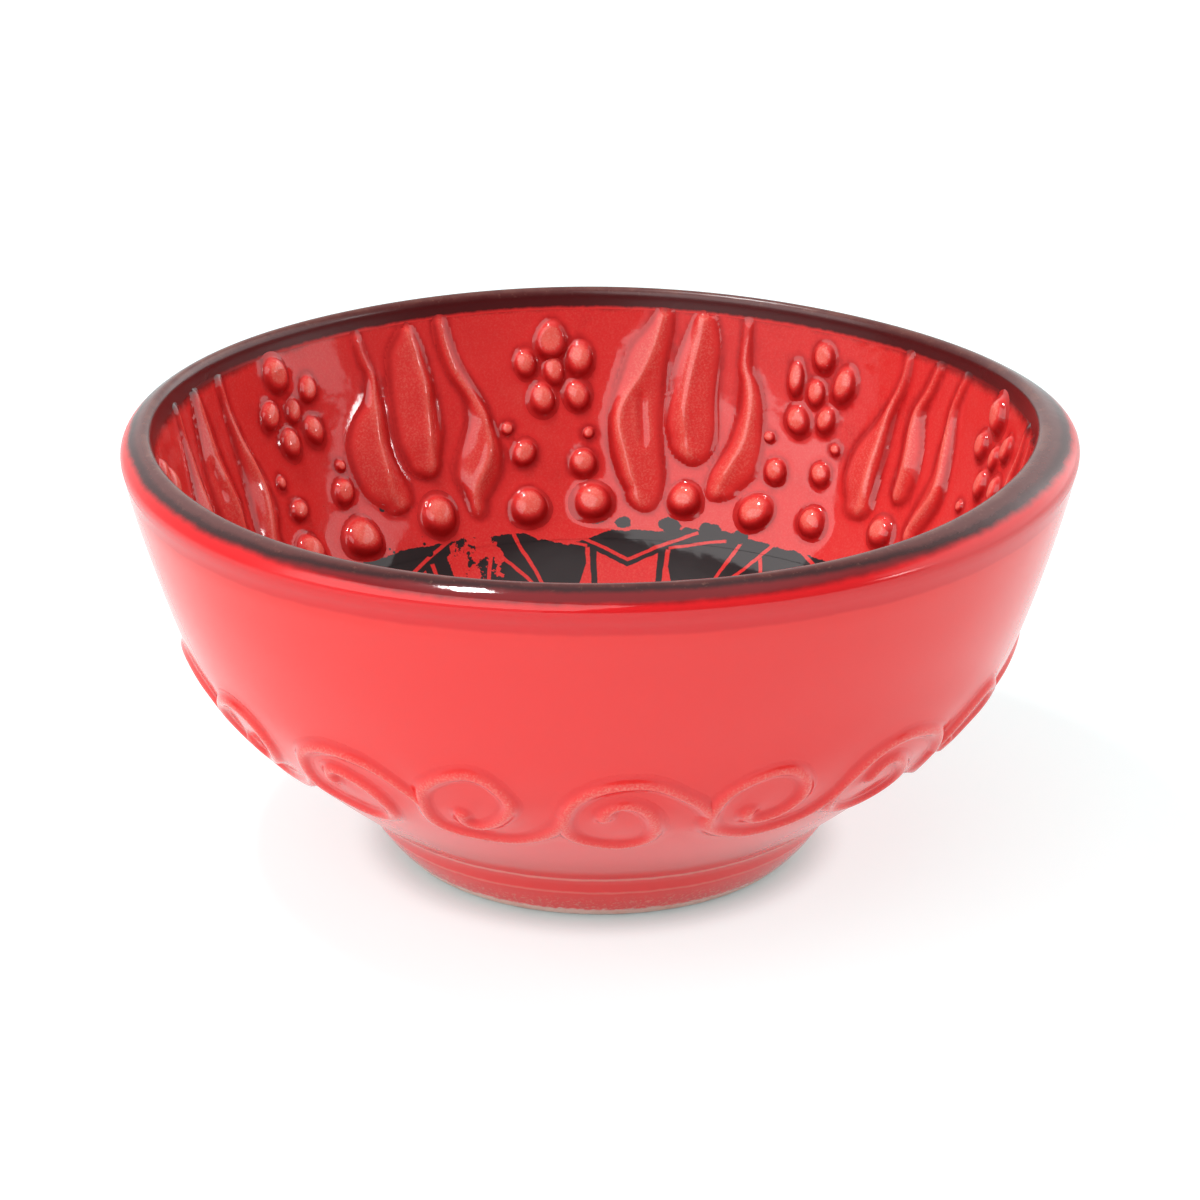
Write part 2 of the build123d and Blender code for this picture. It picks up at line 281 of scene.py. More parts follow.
@dataclass(frozen=True)
class Potting:
    """The thrown and turned form: every outline that the coats and the clay follow."""

    rim_radius: float = 60.0
    lip_top: float = 57.2
    lip_thickness: float = 4.0
    lean_deg: float = 12.0
    coat: float = 0.35
    foot_top: Point = (30.8, 7.2)
    foot_base: float = 25.8
    foot_bulge: float = 0.6
    foot_rim: float = 4.6
    recess_depth: float = 4.6
    recess_radius: float = 19.6
    floor: float = 10.8
    outer_stops: tuple[Point, ...] = ((53.488, 32.0), (46.188, 20.5))
    inner_stops: tuple[Point, ...] = ((49.28, 33.21), (36.008, 16.32))
    bare_height: float = 1.2
    lip_stops: tuple[Point, ...] = (
        (56.22, 56.40),
        (56.60, 56.92),
        (57.05, 57.10),
        (57.60, 56.88),
        (58.20, 56.50),
        (58.80, 56.05),
        (59.35, 55.52),
        (59.70, 54.92),
        (59.80, 54.20),
        (59.60, 53.20),
    )
    groove_depth: float = 0.34
    groove_at: float = 52.2
    groove_turn_deg: float = -98.0

    @property
    def down(self) -> Point:
        """The wall's heading just under the lip."""
        lean = math.radians(self.lean_deg)
        return (-math.sin(lean), -math.cos(lean))

    def lip_point(self, turn_deg: float) -> Point:
        """Give a place on the round lip, its angle taken from straight out."""
        half = self.lip_thickness / 2.0
        turn = math.radians(turn_deg)
        return (self.rim_radius - half + half * math.cos(turn), self.lip_top - half + half * math.sin(turn))

    def lip(self) -> np.ndarray:
        """Give the clay lip's round section, from the inside over to the outside."""
        turns = np.linspace(180.0 - self.lean_deg, -self.lean_deg, 25)
        return np.array([self.lip_point(turn) for turn in turns])

    def glazed_lip(self) -> np.ndarray:
        """Give the lip as glazed: highest near the inside, and wiped down to a slope outside."""
        return even_line((self.lip_point(180.0 - self.lean_deg),) + self.lip_stops, 0.25)

    def groove(self, height: np.ndarray, angle: np.ndarray) -> np.ndarray:
        """Give how far the outside is drawn in under the lip, and swells again below.

        Args:
            height: Heights on the wall.
            angle: Angles round the axis; the groove is deepest at the front.

        Returns:
            The move outwards in millimetres.
        """
        dip = self.groove_depth * bell(height - self.groove_at, 0.85)
        share = 0.08 + 0.92 * bell(swing_from(angle, self.groove_turn_deg), math.radians(36.0))
        return share * (0.07 * bell(height - self.groove_at + 2.3, 1.1) - dip)

    def inner(self) -> np.ndarray:
        """Give the inside from the lip down to the middle of the floor."""
        start = self.lip_point(180.0 - self.lean_deg)
        wall = arc_chain(start, self.down, self.inner_stops, 60)
        low = wall[-1]
        heading = wall[-1] - wall[-2]
        sweep = math.atan2(-heading[1], -heading[0])
        level_at = low[0] - (low[1] - self.floor) * math.sin(sweep) / (1.0 - math.cos(sweep))
        last = arc_chain(tuple(low), tuple(heading), [(level_at, self.floor)], 40)[1:]
        flat = np.linspace((level_at, self.floor), (0.0, self.floor), 24)[1:]
        return np.vstack((wall, last, flat))

    def outer(self) -> np.ndarray:
        """Give the glazed outside from the lip down, over the turned step, to the foot's base."""
        start = self.lip_point(-self.lean_deg)
        wall = arc_chain(start, self.down, self.outer_stops + (self.foot_top,), 60)
        share = np.linspace(1.0, 0.0, 30)[1:]
        out = self.foot_base + share * (self.foot_top[0] - self.foot_base)
        out = out + self.foot_bulge * 4.0 * share * (1.0 - share)
        side = np.stack((out, share * self.foot_top[1]), 1)
        return self.eased(np.vstack((wall, side)), len(wall) - 1)

    def eased(self, line: np.ndarray, corner: int) -> np.ndarray:
        """Ease the hollow corner over the foot, where glaze pools, and turn a fine step under it.

        Args:
            line: The outline from the lip down.
            corner: Index of the corner's point.

        Returns:
            The outline with even steps and a rounded corner.
        """
        run = lengths(line)
        step = 0.1
        reach = 16
        fine = np.arange(0.0, run[-1], step)
        even = np.stack((np.interp(fine, run, line[:, 0]), np.interp(fine, run, line[:, 1])), 1)
        weight = np.exp(-((np.arange(-reach, reach + 1) * step) ** 2) / (2.0 * 0.55**2))
        weight /= weight.sum()
        padded = np.pad(even, ((reach, reach), (0, 0)), mode="edge")
        soft = np.stack([np.convolve(padded[:, axis], weight, mode="valid") for axis in (0, 1)], 1)
        even = even + (soft - even) * bell(fine - run[corner], 2.2)[:, None]
        below = fine - run[corner] - 2.5
        even[:, 0] += 0.1 * bell(below, 0.55) - 0.12 * bell(below + 1.15, 0.6)
        return np.vstack((even, line[-1:]))


@dataclass
class TurnedWall:
    """A turned surface that slip is trailed on.

    Attributes:
        line: Its outline from the top down.
        off_left: Whether the air is on the left of that line.
        side: 1 where an ornament's right is counter-clockwise seen from above, -1 where it is clockwise.
    """

    line: np.ndarray
    off_left: bool
    side: int
    run: np.ndarray = field(init=False)
    facing: np.ndarray = field(init=False)

    def __post_init__(self) -> None:
        """Measure the line once."""
        self.run = lengths(self.line)
        ahead = np.gradient(self.line, axis=0)
        ahead /= np.linalg.norm(ahead, axis=1)[:, None]
        sign = 1.0 if self.off_left else -1.0
        self.facing = np.stack((-ahead[:, 1], ahead[:, 0]), 1) * sign

    def run_at(self, height: float) -> float:
        """Give the length from the top down to a height."""
        falling = self.line[::-1, 1]
        return float(np.interp(height, falling, self.run[::-1]))

    def at(self, run: np.ndarray) -> tuple[np.ndarray, np.ndarray, np.ndarray, np.ndarray]:
        """Give radius, height and the two parts of the facing at lengths from the top."""
        values = [np.interp(run, self.run, self.line[:, axis]) for axis in (0, 1)]
        values += [np.interp(run, self.run, self.facing[:, axis]) for axis in (0, 1)]
        return values[0], values[1], values[2], values[3]

    def place(self, across: np.ndarray, up: np.ndarray, off: np.ndarray, seat: float, angle: float) -> np.ndarray:
        """Wrap flat ornament onto the wall.

        Args:
            across: To the right of the seat, in millimetres.
            up: Up the wall from the seat.
            off: Off the wall's surface.
            seat: Height of the seat.
            angle: Angle of the seat in radians.

        Returns:
            Places in space, one per row, in millimetres.
        """
        radius, height, out, rise = self.at(self.run_at(seat) - up)
        turn = angle + self.side * np.arcsin(np.clip(across / radius, -0.99, 0.99))
        away = radius + off * out
        level = height + off * rise
        level = level + LIP.lift(turn, height)
        if self.side < 0:
            away = away - LIP.swell(turn, height)
        return around(away, turn, level)


LIP = UnevenLip()
MOTIF_RADIUS = 50.155
POT = Potting()
INSIDE = TurnedWall(POT.inner(), off_left=False, side=-1)
OUTSIDE = TurnedWall(POT.outer(), off_left=True, side=1)
BAND_INSIDE = 54.2
BAND_OUTSIDE = 53.2
RUN_AT_BAND = INSIDE.run_at(BAND_INSIDE)


# ---------------------------------------------------------------- hand modelling


def start_alone() -> None:
    """Leave edit mode and deselect everything."""
    if bpy.context.object is not None and bpy.context.object.mode != "OBJECT":
        bpy.ops.object.mode_set(mode="OBJECT")
    bpy.ops.object.select_all(action="DESELECT")


def take(piece: bpy.types.Object) -> None:
    """Make one piece the only selected and active one."""
    start_alone()
    piece.select_set(True)
    bpy.context.view_layer.objects.active = piece


@contextmanager
def editing(piece: bpy.types.Object) -> Iterator[None]:
    """Edit one piece's mesh, all of it selected, and leave edit mode at the end."""
    take(piece)
    bpy.ops.object.mode_set(mode="EDIT")
    bpy.ops.mesh.select_all(action="SELECT")
    yield
    bpy.ops.object.mode_set(mode="OBJECT")


def face_out(piece: bpy.types.Object) -> None:
    """Point a piece's faces outwards."""
    with editing(piece):
        bpy.ops.mesh.normals_make_consistent(inside=False)


def turn_over(piece: bpy.types.Object) -> None:
    """Turn all of a piece's faces round."""
    with editing(piece):
        bpy.ops.mesh.flip_normals()


def finish_modifier(piece: bpy.types.Object, kind: str, **settings: object) -> None:
    """Add a modifier, set it and apply it."""
    take(piece)
    modifier = piece.modifiers.new(kind.title(), kind)
    for name, value in settings.items():
        setattr(modifier, name, value)
    bpy.ops.object.modifier_apply(modifier=modifier.name)


def turned_up(name: str, line: np.ndarray, steps: int, closed: bool) -> bpy.types.Object:
    """Turn an outline round the axis by drawing one ring after another out of a circle.

    Args:
        name: Name of the piece.
        line: Radii and heights in millimetres; the first radius isn't 0.
        steps: Points round each ring.
        closed: Whether the last ring joins the first.

    Returns:
        The new piece.
    """
    start_alone()
    bpy.ops.mesh.primitive_circle_add(vertices=steps, radius=line[0][0] * MM, location=(0.0, 0.0, line[0][1] * MM))
    piece = bpy.context.active_object
    piece.name = name
    piece.data.name = name
    bpy.ops.object.transform_apply(location=True)
    with editing(piece):
        last = line[0]
        for ring in line[1:]:
            rise = (0.0, 0.0, (ring[1] - last[1]) * MM)
            bpy.ops.mesh.extrude_region_move(TRANSFORM_OT_translate={"value": rise})
            if ring[0] < 1e-6:
                bpy.ops.mesh.merge(type="CENTER")
                break
            scale = ring[0] / last[0]
            bpy.ops.transform.resize(value=(scale, scale, 1.0), center_override=(0.0, 0.0, ring[1] * MM))
            last = ring
        bpy.ops.mesh.select_all(action="SELECT")
        if closed:
            bpy.ops.mesh.remove_doubles(threshold=1e-6)
        bpy.ops.mesh.normals_make_consistent(inside=False)
    return piece


def close_below(piece: bpy.types.Object, height: float = 0.0, shares: Sequence[float] = ()) -> None:
    """Close a turned form's open bottom ring.

    Args:
        piece: The turned form.
        height: Height of the open ring.
        shares: How much narrower each ring drawn in towards the axis is than the last.
    """
    with editing(piece):
        bpy.ops.mesh.select_mode(type="EDGE")
        bpy.ops.mesh.select_all(action="DESELECT")
        bpy.ops.mesh.select_non_manifold()
        for share in shares:
            bpy.ops.mesh.extrude_region_move(TRANSFORM_OT_translate={"value": (0.0, 0.0, 0.0)})
            bpy.ops.transform.resize(value=(share, share, 1.0), center_override=(0.0, 0.0, height * MM))
        bpy.ops.mesh.edge_face_add()
        bpy.ops.mesh.poke()
        bpy.ops.mesh.select_all(action="SELECT")
        bpy.ops.mesh.normals_make_consistent(inside=False)


def points_of(piece: bpy.types.Object) -> np.ndarray:
    """Read a piece's points in millimetres."""
    values = np.empty(len(piece.data.vertices) * 3)
    piece.data.vertices.foreach_get("co", values)
    return values.reshape(-1, 3) / MM


def set_points(piece: bpy.types.Object, points: np.ndarray) -> None:
    """Write a piece's points from millimetres."""
    piece.data.vertices.foreach_set("co", (points * MM).ravel())
    piece.data.update()


def set_value(piece: bpy.types.Object, name: str, values: np.ndarray) -> None:
    """Store one value for each point of a piece."""
    layer = piece.data.attributes.get(name) or piece.data.attributes.new(name, "FLOAT", "POINT")
    layer.data.foreach_set("value", np.asarray(values, np.float32))


def values_of(piece: bpy.types.Object, name: str) -> np.ndarray:
    """Read the values stored on a piece's points."""
    values = np.empty(len(piece.data.vertices), np.float32)
    piece.data.attributes[name].data.foreach_get("value", values)
    return values


def copy_of(master: bpy.types.Object, name: str) -> bpy.types.Object:
    """Copy a piece with a mesh of its own."""
    twin = master.copy()
    twin.data = master.data.copy()
    twin.name = name
    twin.data.name = name
    bpy.context.scene.collection.objects.link(twin)
    return twin


def joined(parts: Sequence[bpy.types.Object], name: str) -> bpy.types.Object:
    """Join parts into one piece of a given name."""
    start_alone()
    for part in parts:
        part.select_set(True)
    bpy.context.view_layer.objects.active = parts[0]
    if len(parts) > 1:
        bpy.ops.object.join()
    parts[0].name = name
    parts[0].data.name = name
    return parts[0]


def smooth(piece: bpy.types.Object, angle_deg: float = 60.0) -> None:
    """Shade a piece smooth, but not over sharp edges."""
    take(piece)
    bpy.ops.object.shade_smooth_by_angle(angle=math.radians(angle_deg))


def discard(piece: bpy.types.Object) -> None:
    """Remove a master once its copies are made."""
    mesh = piece.data
    bpy.data.objects.remove(piece)
    bpy.data.meshes.remove(mesh)


# ---------------------------------------------------------------- slip


@dataclass(frozen=True)
class Hand:
    """The small unevenness of the hand that trailed the slip."""

    reach: float = 0.32
    size: float = 11.0

    def stray(self, points: np.ndarray) -> tuple[np.ndarray, np.ndarray]:
        """Give how far to the right and up the hand strayed at places in space."""
        return self.reach * ripple(*points.T, self.size, 0.3), self.reach * ripple(*points.T, self.size, 1.9)


HAND = Hand()


@dataclass(frozen=True)
class Skirt:
    """The glaze that gathers round raised slip."""

    height: float
    width: float

    def at(self, gap: np.ndarray) -> np.ndarray:
        """Give its height at a distance outside the slip."""
        return self.height * np.exp(-((np.maximum(gap, 0.0) / self.width) ** 3))


@dataclass
class Drop:
    """A bead of slip in the flat.

    Attributes:
        across: To the right of the motif's seat.
        up: Up the wall from the seat.
        radius: Half its width where it meets the wall.
        stretch: How much longer than wide it is.
        lean_deg: Which way the long side leans from upright.
        flat: Share of its height that is pressed away.
    """

    across: float
    up: float
    radius: float
    stretch: float = 1.0
    lean_deg: float = 0.0
    flat: float = 0.0

    @property
    def skirt(self) -> Skirt:
        """The glaze round it, a low collar on a large bead."""
        return Skirt(min(0.15, 0.06 * self.radius), 0.34 * self.radius)

    def gap(self, across: np.ndarray, up: np.ndarray) -> np.ndarray:
        """Give the distance outside its edge."""
        lean = math.radians(self.lean_deg)
        side = (across - self.across) * math.cos(lean) + (up - self.up) * math.sin(lean)
        rise = -(across - self.across) * math.sin(lean) + (up - self.up) * math.cos(lean)
        return np.hypot(side, rise / self.stretch) - self.radius


@dataclass
class Trail:
    """A drawn stroke of slip in the flat, with a width and a height at each place along it.

    Attributes:
        line: The places along its middle.
        widths: Half its width at each.
        heights: Its height at each.
    """

    line: np.ndarray
    widths: np.ndarray
    heights: np.ndarray
    skirt: Skirt = Skirt(0.12, 1.1)

    def gap(self, across: np.ndarray, up: np.ndarray) -> np.ndarray:
        """Give the distance outside its edge."""
        return self.nearest(across, up)[0]

    def nearest(self, across: np.ndarray, up: np.ndarray) -> tuple[np.ndarray, np.ndarray]:
        """Find the nearest place of the stroke.

        Args:
            across: Places to the right.
            up: Places up.

        Returns:
            The distance outside its edge, and the index along the line.
        """
        best = np.full(across.shape, 1e9)
        index = np.zeros(across.shape, int)
        for step, (place, width) in enumerate(zip(self.line, self.widths)):
            gap = np.hypot(across - place[0], up - place[1]) - width
            closer = gap < best
            best[closer] = gap[closer]
            index[closer] = step
        return best, index


def dome(share: np.ndarray, power: float = 2.2) -> np.ndarray:
    """Give the rounded section of a slip stroke, 1 in the middle and 0 at its edge."""
    return np.clip(1.0 - np.clip(share, 0.0, 1.0) ** power, 0.0, 1.0) ** (1.0 / power)


def melted(values: np.ndarray, spread: float, step: float) -> np.ndarray:
    """Soften a grid of heights as melting glaze does.

    Args:
        values: Heights on an even grid.
        spread: How far the softening reaches, in millimetres.
        step: The grid's spacing.

    Returns:
        The softened grid.
    """
    reach = max(1, int(round(3.0 * spread / step)))
    weight = np.exp(-((np.arange(-reach, reach + 1) * step) ** 2) / (2.0 * spread**2))
    weight /= weight.sum()
    for axis in (0, 1):
        padding = [(0, 0), (0, 0)]
        padding[axis] = (reach, reach)
        padded = np.pad(values, padding, mode="edge")
        values = np.apply_along_axis(lambda row: np.convolve(row, weight, mode="valid"), axis, padded)
    return values


@dataclass
class ReliefSheet:
    """A patch of raised slip, shaped in the flat from a grid and then wrapped onto the wall.

    Attributes:
        name: Name of the master.
        low: Lowest corner in the flat.
        high: Highest corner.
        shape: Gives raw height, distance outside the slip and the skirt for places in the flat.
        step: The grid's spacing.
        melt: How far the glaze softens it.
        shown: How far outside the slip the patch reaches.
        thin_gain: How strongly the glaze runs thin on crests.
        thick_gain: How strongly it pools in hollows.
        body_tint: How much thinner it lies on the slip than beside it.
        broad: How far round a place the crests and hollows are judged.
        edge_pool: How much it pools along the slip's edge.
    """

    name: str
    low: Point
    high: Point
    shape: Callable[[np.ndarray, np.ndarray], Places]
    step: float = 0.25
    melt: float = 0.22
    shown: float = 0.75
    thin_gain: float = 1.5
    thick_gain: float = 0.9
    body_tint: float = 0.10
    broad: float = 0.7
    edge_pool: float = 0.13

    def make(self) -> bpy.types.Object:
        """Shape the master in the flat.

        Returns:
            A piece whose points are across, up and off the wall.
        """
        count = [int(round((self.high[axis] - self.low[axis]) / self.step)) for axis in (0, 1)]
        start_alone()
        bpy.ops.mesh.primitive_grid_add(x_subdivisions=count[0], y_subdivisions=count[1], size=1.0)
        piece = bpy.context.active_object
        piece.name = self.name
        flat = points_of(piece) * MM + 0.5
        across = self.low[0] + flat[:, 0] * (self.high[0] - self.low[0])
        up = self.low[1] + flat[:, 1] * (self.high[1] - self.low[1])
        order = np.lexsort((np.round(flat[:, 0], 6), np.round(flat[:, 1], 6)))
        shape = (count[1] + 1, count[0] + 1)
        raw, gap, skirt = self.shape(across[order], up[order])
        height = melted(raw.reshape(shape), self.melt, self.step)
        broad = melted(height, self.broad, self.step)
        crest = np.clip((height - broad) * self.thin_gain, -1.0, 1.0).ravel()
        crest = np.where(crest < 0.0, crest * self.thick_gain / self.thin_gain, crest)
        body = self.body_tint * smooth_step(-gap, -0.1, 1.4)
        glaze = np.clip(0.5 + 0.5 * crest + body - self.edge_pool * bell(gap, 0.7), 0, 1)
        off, tint, far = (np.empty(len(flat)) for _ in range(3))
        off[order] = height.ravel() + skirt - SHEET_SINK
        tint[order] = glaze
        far[order] = gap
        off = np.where(far > self.shown - self.step, off - COAT_SINK, off)
        set_points(piece, np.stack((across, up, off), 1))
        set_value(piece, GLAZE, tint)
        self.trim(piece, far)
        return piece

    def trim(self, piece: bpy.types.Object, gap: np.ndarray) -> None:
        """Cut away the sheet where there is no slip."""
        take(piece)
        piece.data.vertices.foreach_set("select", gap > self.shown)
        piece.data.edges.foreach_set("select", np.zeros(len(piece.data.edges), bool))
        piece.data.polygons.foreach_set("select", np.zeros(len(piece.data.polygons), bool))
        bpy.ops.object.mode_set(mode="EDIT")
        bpy.context.tool_settings.mesh_select_mode = (True, False, False)
        bpy.ops.mesh.delete(type="VERT")
        bpy.ops.object.mode_set(mode="OBJECT")


def set_on_wall(piece: bpy.types.Object, wall: TurnedWall, seat: float, angle: float) -> None:
    """Wrap a flat master onto the wall where the hand set it.

    Args:
        piece: Piece with flat points.
        wall: The wall that carries it.
        seat: Height of its seat.
        angle: Angle of its seat in radians.
    """
    flat = points_of(piece)
    rough = wall.place(*flat.T, seat, angle)
    right, rise = HAND.stray(rough)
    swell = 1.0 + 0.06 * ripple(*rough.T, 7.0, 4.2)
    off = np.where(flat[:, 2] > 0.2, flat[:, 2] * swell, flat[:, 2])
    set_points(piece, wall.place(flat[:, 0] + right, flat[:, 1] + rise, off, seat, angle))


@dataclass
class Motif:
    """A group of slip set at one place of the wall.

    Attributes:
        node: Name of the CAD node that it stands for.
        seat: Height of its seat.
        angle_deg: Angle of its seat.
        marks: Its drops and trails, in the flat.
    """

    node: str
    seat: float
    angle_deg: float
    marks: list[Union[Drop, Trail]]


@dataclass
class WallSlip:
    """All the slip on one wall, which tells the wall's glaze where to gather."""

    wall: TurnedWall
    motifs: list[Motif]
    reach_deg: float = 26.0

    def gather(self, points: np.ndarray, run: np.ndarray) -> tuple[np.ndarray, np.ndarray]:
        """Find the glaze gathered at places of the wall.

        Args:
            points: Places in space, in millimetres.
            run: Their lengths down the wall.

        Returns:
            The skirts' height and the distance to the nearest slip.
        """
        height = np.zeros(len(points))
        nearest = np.full(len(points), 99.0)
        radius, turn, _ = polar(points)
        right, rise = HAND.stray(points)
        for motif in self.motifs:
            swing = swing_from(turn, motif.angle_deg)
            near = np.abs(swing) < math.radians(self.reach_deg)
            across = self.wall.side * radius[near] * np.sin(swing[near]) - right[near]
            up = self.wall.run_at(motif.seat) - run[near] - rise[near]
            for mark in motif.marks:
                gap = mark.gap(across, up)
                height[near] = np.maximum(height[near], mark.skirt.at(gap))
                nearest[near] = np.minimum(nearest[near], gap)
        return height, nearest


@dataclass
class BeadForm:
    """The rounded form of one drop of slip under glaze, modelled once and copied."""

    steps: int = 28
    tall: float = 0.57
    rings: tuple[Point, ...] = (
        (1.42, -0.05),
        (1.28, -0.012),
        (1.16, 0.012),
        (1.07, 0.05),
        (1.01, 0.14),
        (0.965, 0.27),
        (0.90, 0.44),
        (0.80, 0.62),
        (0.66, 0.78),
        (0.48, 0.90),
        (0.28, 0.97),
        (0.12, 0.995),
        (0.0, 1.0),
    )

    def make(self) -> bpy.types.Object:
        """Model the master with a radius of one millimetre, closed below."""
        line = [(0.9, -0.2)] + [(out, up * self.tall) for out, up in self.rings]
        piece = turned_up("bead_master", np.array(line), self.steps, closed=False)
        close_below(piece)
        return piece

    def laid(self, master: bpy.types.Object, drop: Drop) -> bpy.types.Object:
        """Copy the master to a drop's size and place in the flat.

        Args:
            master: The unit bead.
            drop: The drop to lay.

        Returns:
            A piece with flat points and its glaze values, in which painted light and shade lie too.
        """
        piece = copy_of(master, "bead")
        unit = points_of(piece)
        lean = math.radians(drop.lean_deg)
        out = np.hypot(unit[:, 0], unit[:, 1])
        side = unit[:, 0] * drop.radius
        rise = unit[:, 1] * drop.radius * drop.stretch
        across = drop.across + side * math.cos(lean) - rise * math.sin(lean)
        up = drop.up + side * math.sin(lean) + rise * math.cos(lean)
        tall = unit[:, 2] * drop.radius
        if drop.flat > 0.0:
            top = self.tall * drop.radius * (1.0 - drop.flat)
            tall = np.where(tall > top, top + 0.12 * (tall - top), tall)
        lump = 0.05 * drop.radius * ripple(across, up, tall, 2.2 * drop.radius, 7.7 * drop.across + drop.up)
        tall = np.where(unit[:, 2] > 0.1, tall + lump * dome(out), tall)
        gap = (out - 1.0) * drop.radius
        skirt = np.where(unit[:, 2] > -0.15, drop.skirt.at(gap), 0.0)
        set_points(piece, np.stack((across, up, tall + skirt - BEAD_SINK), 1))
        # Painted light and shade, with thin glaze on the cap: the cap is paler and set towards the upper left, the
        # upper rim paler and the lower rim darker.
        high = unit[:, 1] - 0.25 * unit[:, 0]
        cap = 1.0 - smooth_step(np.hypot(unit[:, 0] + 0.06, unit[:, 1] - 0.16), 0.42, 0.92)
        foot = bell(out - 1.0, 0.16)
        edge = 0.10 * smooth_step(high, 0.2, 1.0) * foot - 0.14 * foot * smooth_step(-high, -0.1, 0.9)
        tint = 0.34 + 0.40 * cap + edge
        set_value(piece, GLAZE, np.clip(tint, 0.0, 1.0))
        return piece


# ---------------------------------------------------------------- motifs


@dataclass
class Flower:
    """Five beads of slip round a smaller heart, set by hand.

    Attributes:
        beads: For the heart and each petal: to the right, up, width, height, lean in degrees and pressed share.
        down: Length down the wall to the heart.
    """

    beads: tuple[tuple[float, ...], ...]
    down: float
    seat: float = 45.3

    def drops(self) -> list[Drop]:
        """Lay the heart and the petals."""
        rise = INSIDE.run_at(self.seat) - self.down
        return [
            Drop(across, up + rise, wide / 2.0, tall / wide, lean, flat)
            for across, up, wide, tall, lean, flat in self.beads
        ]


FLOWERS: tuple[Flower, ...] = (
    Flower(
        (
            (0.0, 0.0, 2.7, 3.6, 6.0, 0.0), (0.3, 5.0, 3.2, 4.1, 0.0, 0.1), (-3.4, 1.1, 2.5, 4.5, 8.0, 0.0),
            (4.1, 1.8, 3.4, 5.2, -10.0, 0.0), (-2.1, -4.5, 3.4, 4.5, 10.0, 0.0), (2.3, -3.6, 3.0, 4.1, -8.0, 0.0),
        ),
        10.0,
    ),
    Flower(
        (
            (0.0, 0.0, 2.7, 4.1, 0.0, 0.0), (-0.3, 4.5, 4.1, 5.4, 4.0, 0.45), (-3.95, 1.6, 3.2, 4.3, 10.0, 0.0),
            (3.4, 2.0, 3.4, 5.0, -12.0, 0.0), (-2.1, -3.9, 3.4, 4.3, 0.0, 0.0), (2.9, -3.2, 3.4, 4.1, 0.0, 0.0),
        ),
        10.5,
    ),
    Flower(
        (
            (0.0, 0.0, 2.6, 3.9, 0.0, 0.0), (-2.2, 5.5, 4.1, 5.0, 14.0, 0.1), (-4.5, 0.5, 3.2, 4.1, 8.0, 0.0),
            (3.4, 2.5, 3.0, 3.9, -8.0, 0.0), (-1.7, -4.3, 3.2, 4.1, 0.0, 0.0), (3.0, -3.6, 3.0, 4.1, 0.0, 0.0),
        ),
        9.8,
    ),
)


@dataclass
class DotPairs:
    """Three pairs of dots under a flower, large at the bottom.

    Attributes:
        dots: For each dot: to the right where the wall is widest, length down the wall, and radius.
    """

    dots: tuple[tuple[float, float, float], ...]
    seat: float = 33.6

    def drops(self) -> list[Drop]:
        """Lay the dots."""
        base = INSIDE.run_at(self.seat)
        found = []
        for across, down, radius in self.dots:
            real = across * float(INSIDE.at(np.array([down]))[0][0]) / MOTIF_RADIUS
            found.append(Drop(real, base - down, radius, 1.04))
        return found


DOTS: tuple[DotPairs, ...] = (
    DotPairs(
        (
            (-5.7, 18.1, 0.8), (4.3, 17.6, 0.8), (-4.3, 22.7, 1.6), (2.9, 21.6, 1.5), (-5.7, 28.7, 2.45),
            (3.4, 28.3, 2.15),
        )
    ),
    DotPairs(
        (
            (-6.8, 18.0, 0.8), (4.4, 19.2, 0.8), (-4.8, 21.8, 1.7), (3.6, 23.3, 1.8), (-4.7, 29.5, 2.45),
            (4.7, 28.9, 2.5),
        )
    ),
    DotPairs(
        (
            (-5.6, 18.4, 0.8), (5.3, 19.0, 0.8), (-4.1, 22.7, 1.5), (4.5, 22.7, 1.7), (-5.0, 29.0, 2.4),
            (5.6, 29.5, 2.8),
        )
    ),
)


@dataclass
class RingBead:
    """The large bead under a tulip."""

    down: float
    radius: float
    seat: float = 28.2

    def drops(self) -> list[Drop]:
        """Lay the bead."""
        return [Drop(0.0, INSIDE.run_at(self.seat) - self.down, self.radius, 1.04)]


RING_BEADS: tuple[RingBead, ...] = (RingBead(26.6, 2.0), RingBead(28.1, 2.4), RingBead(29.1, 2.6))


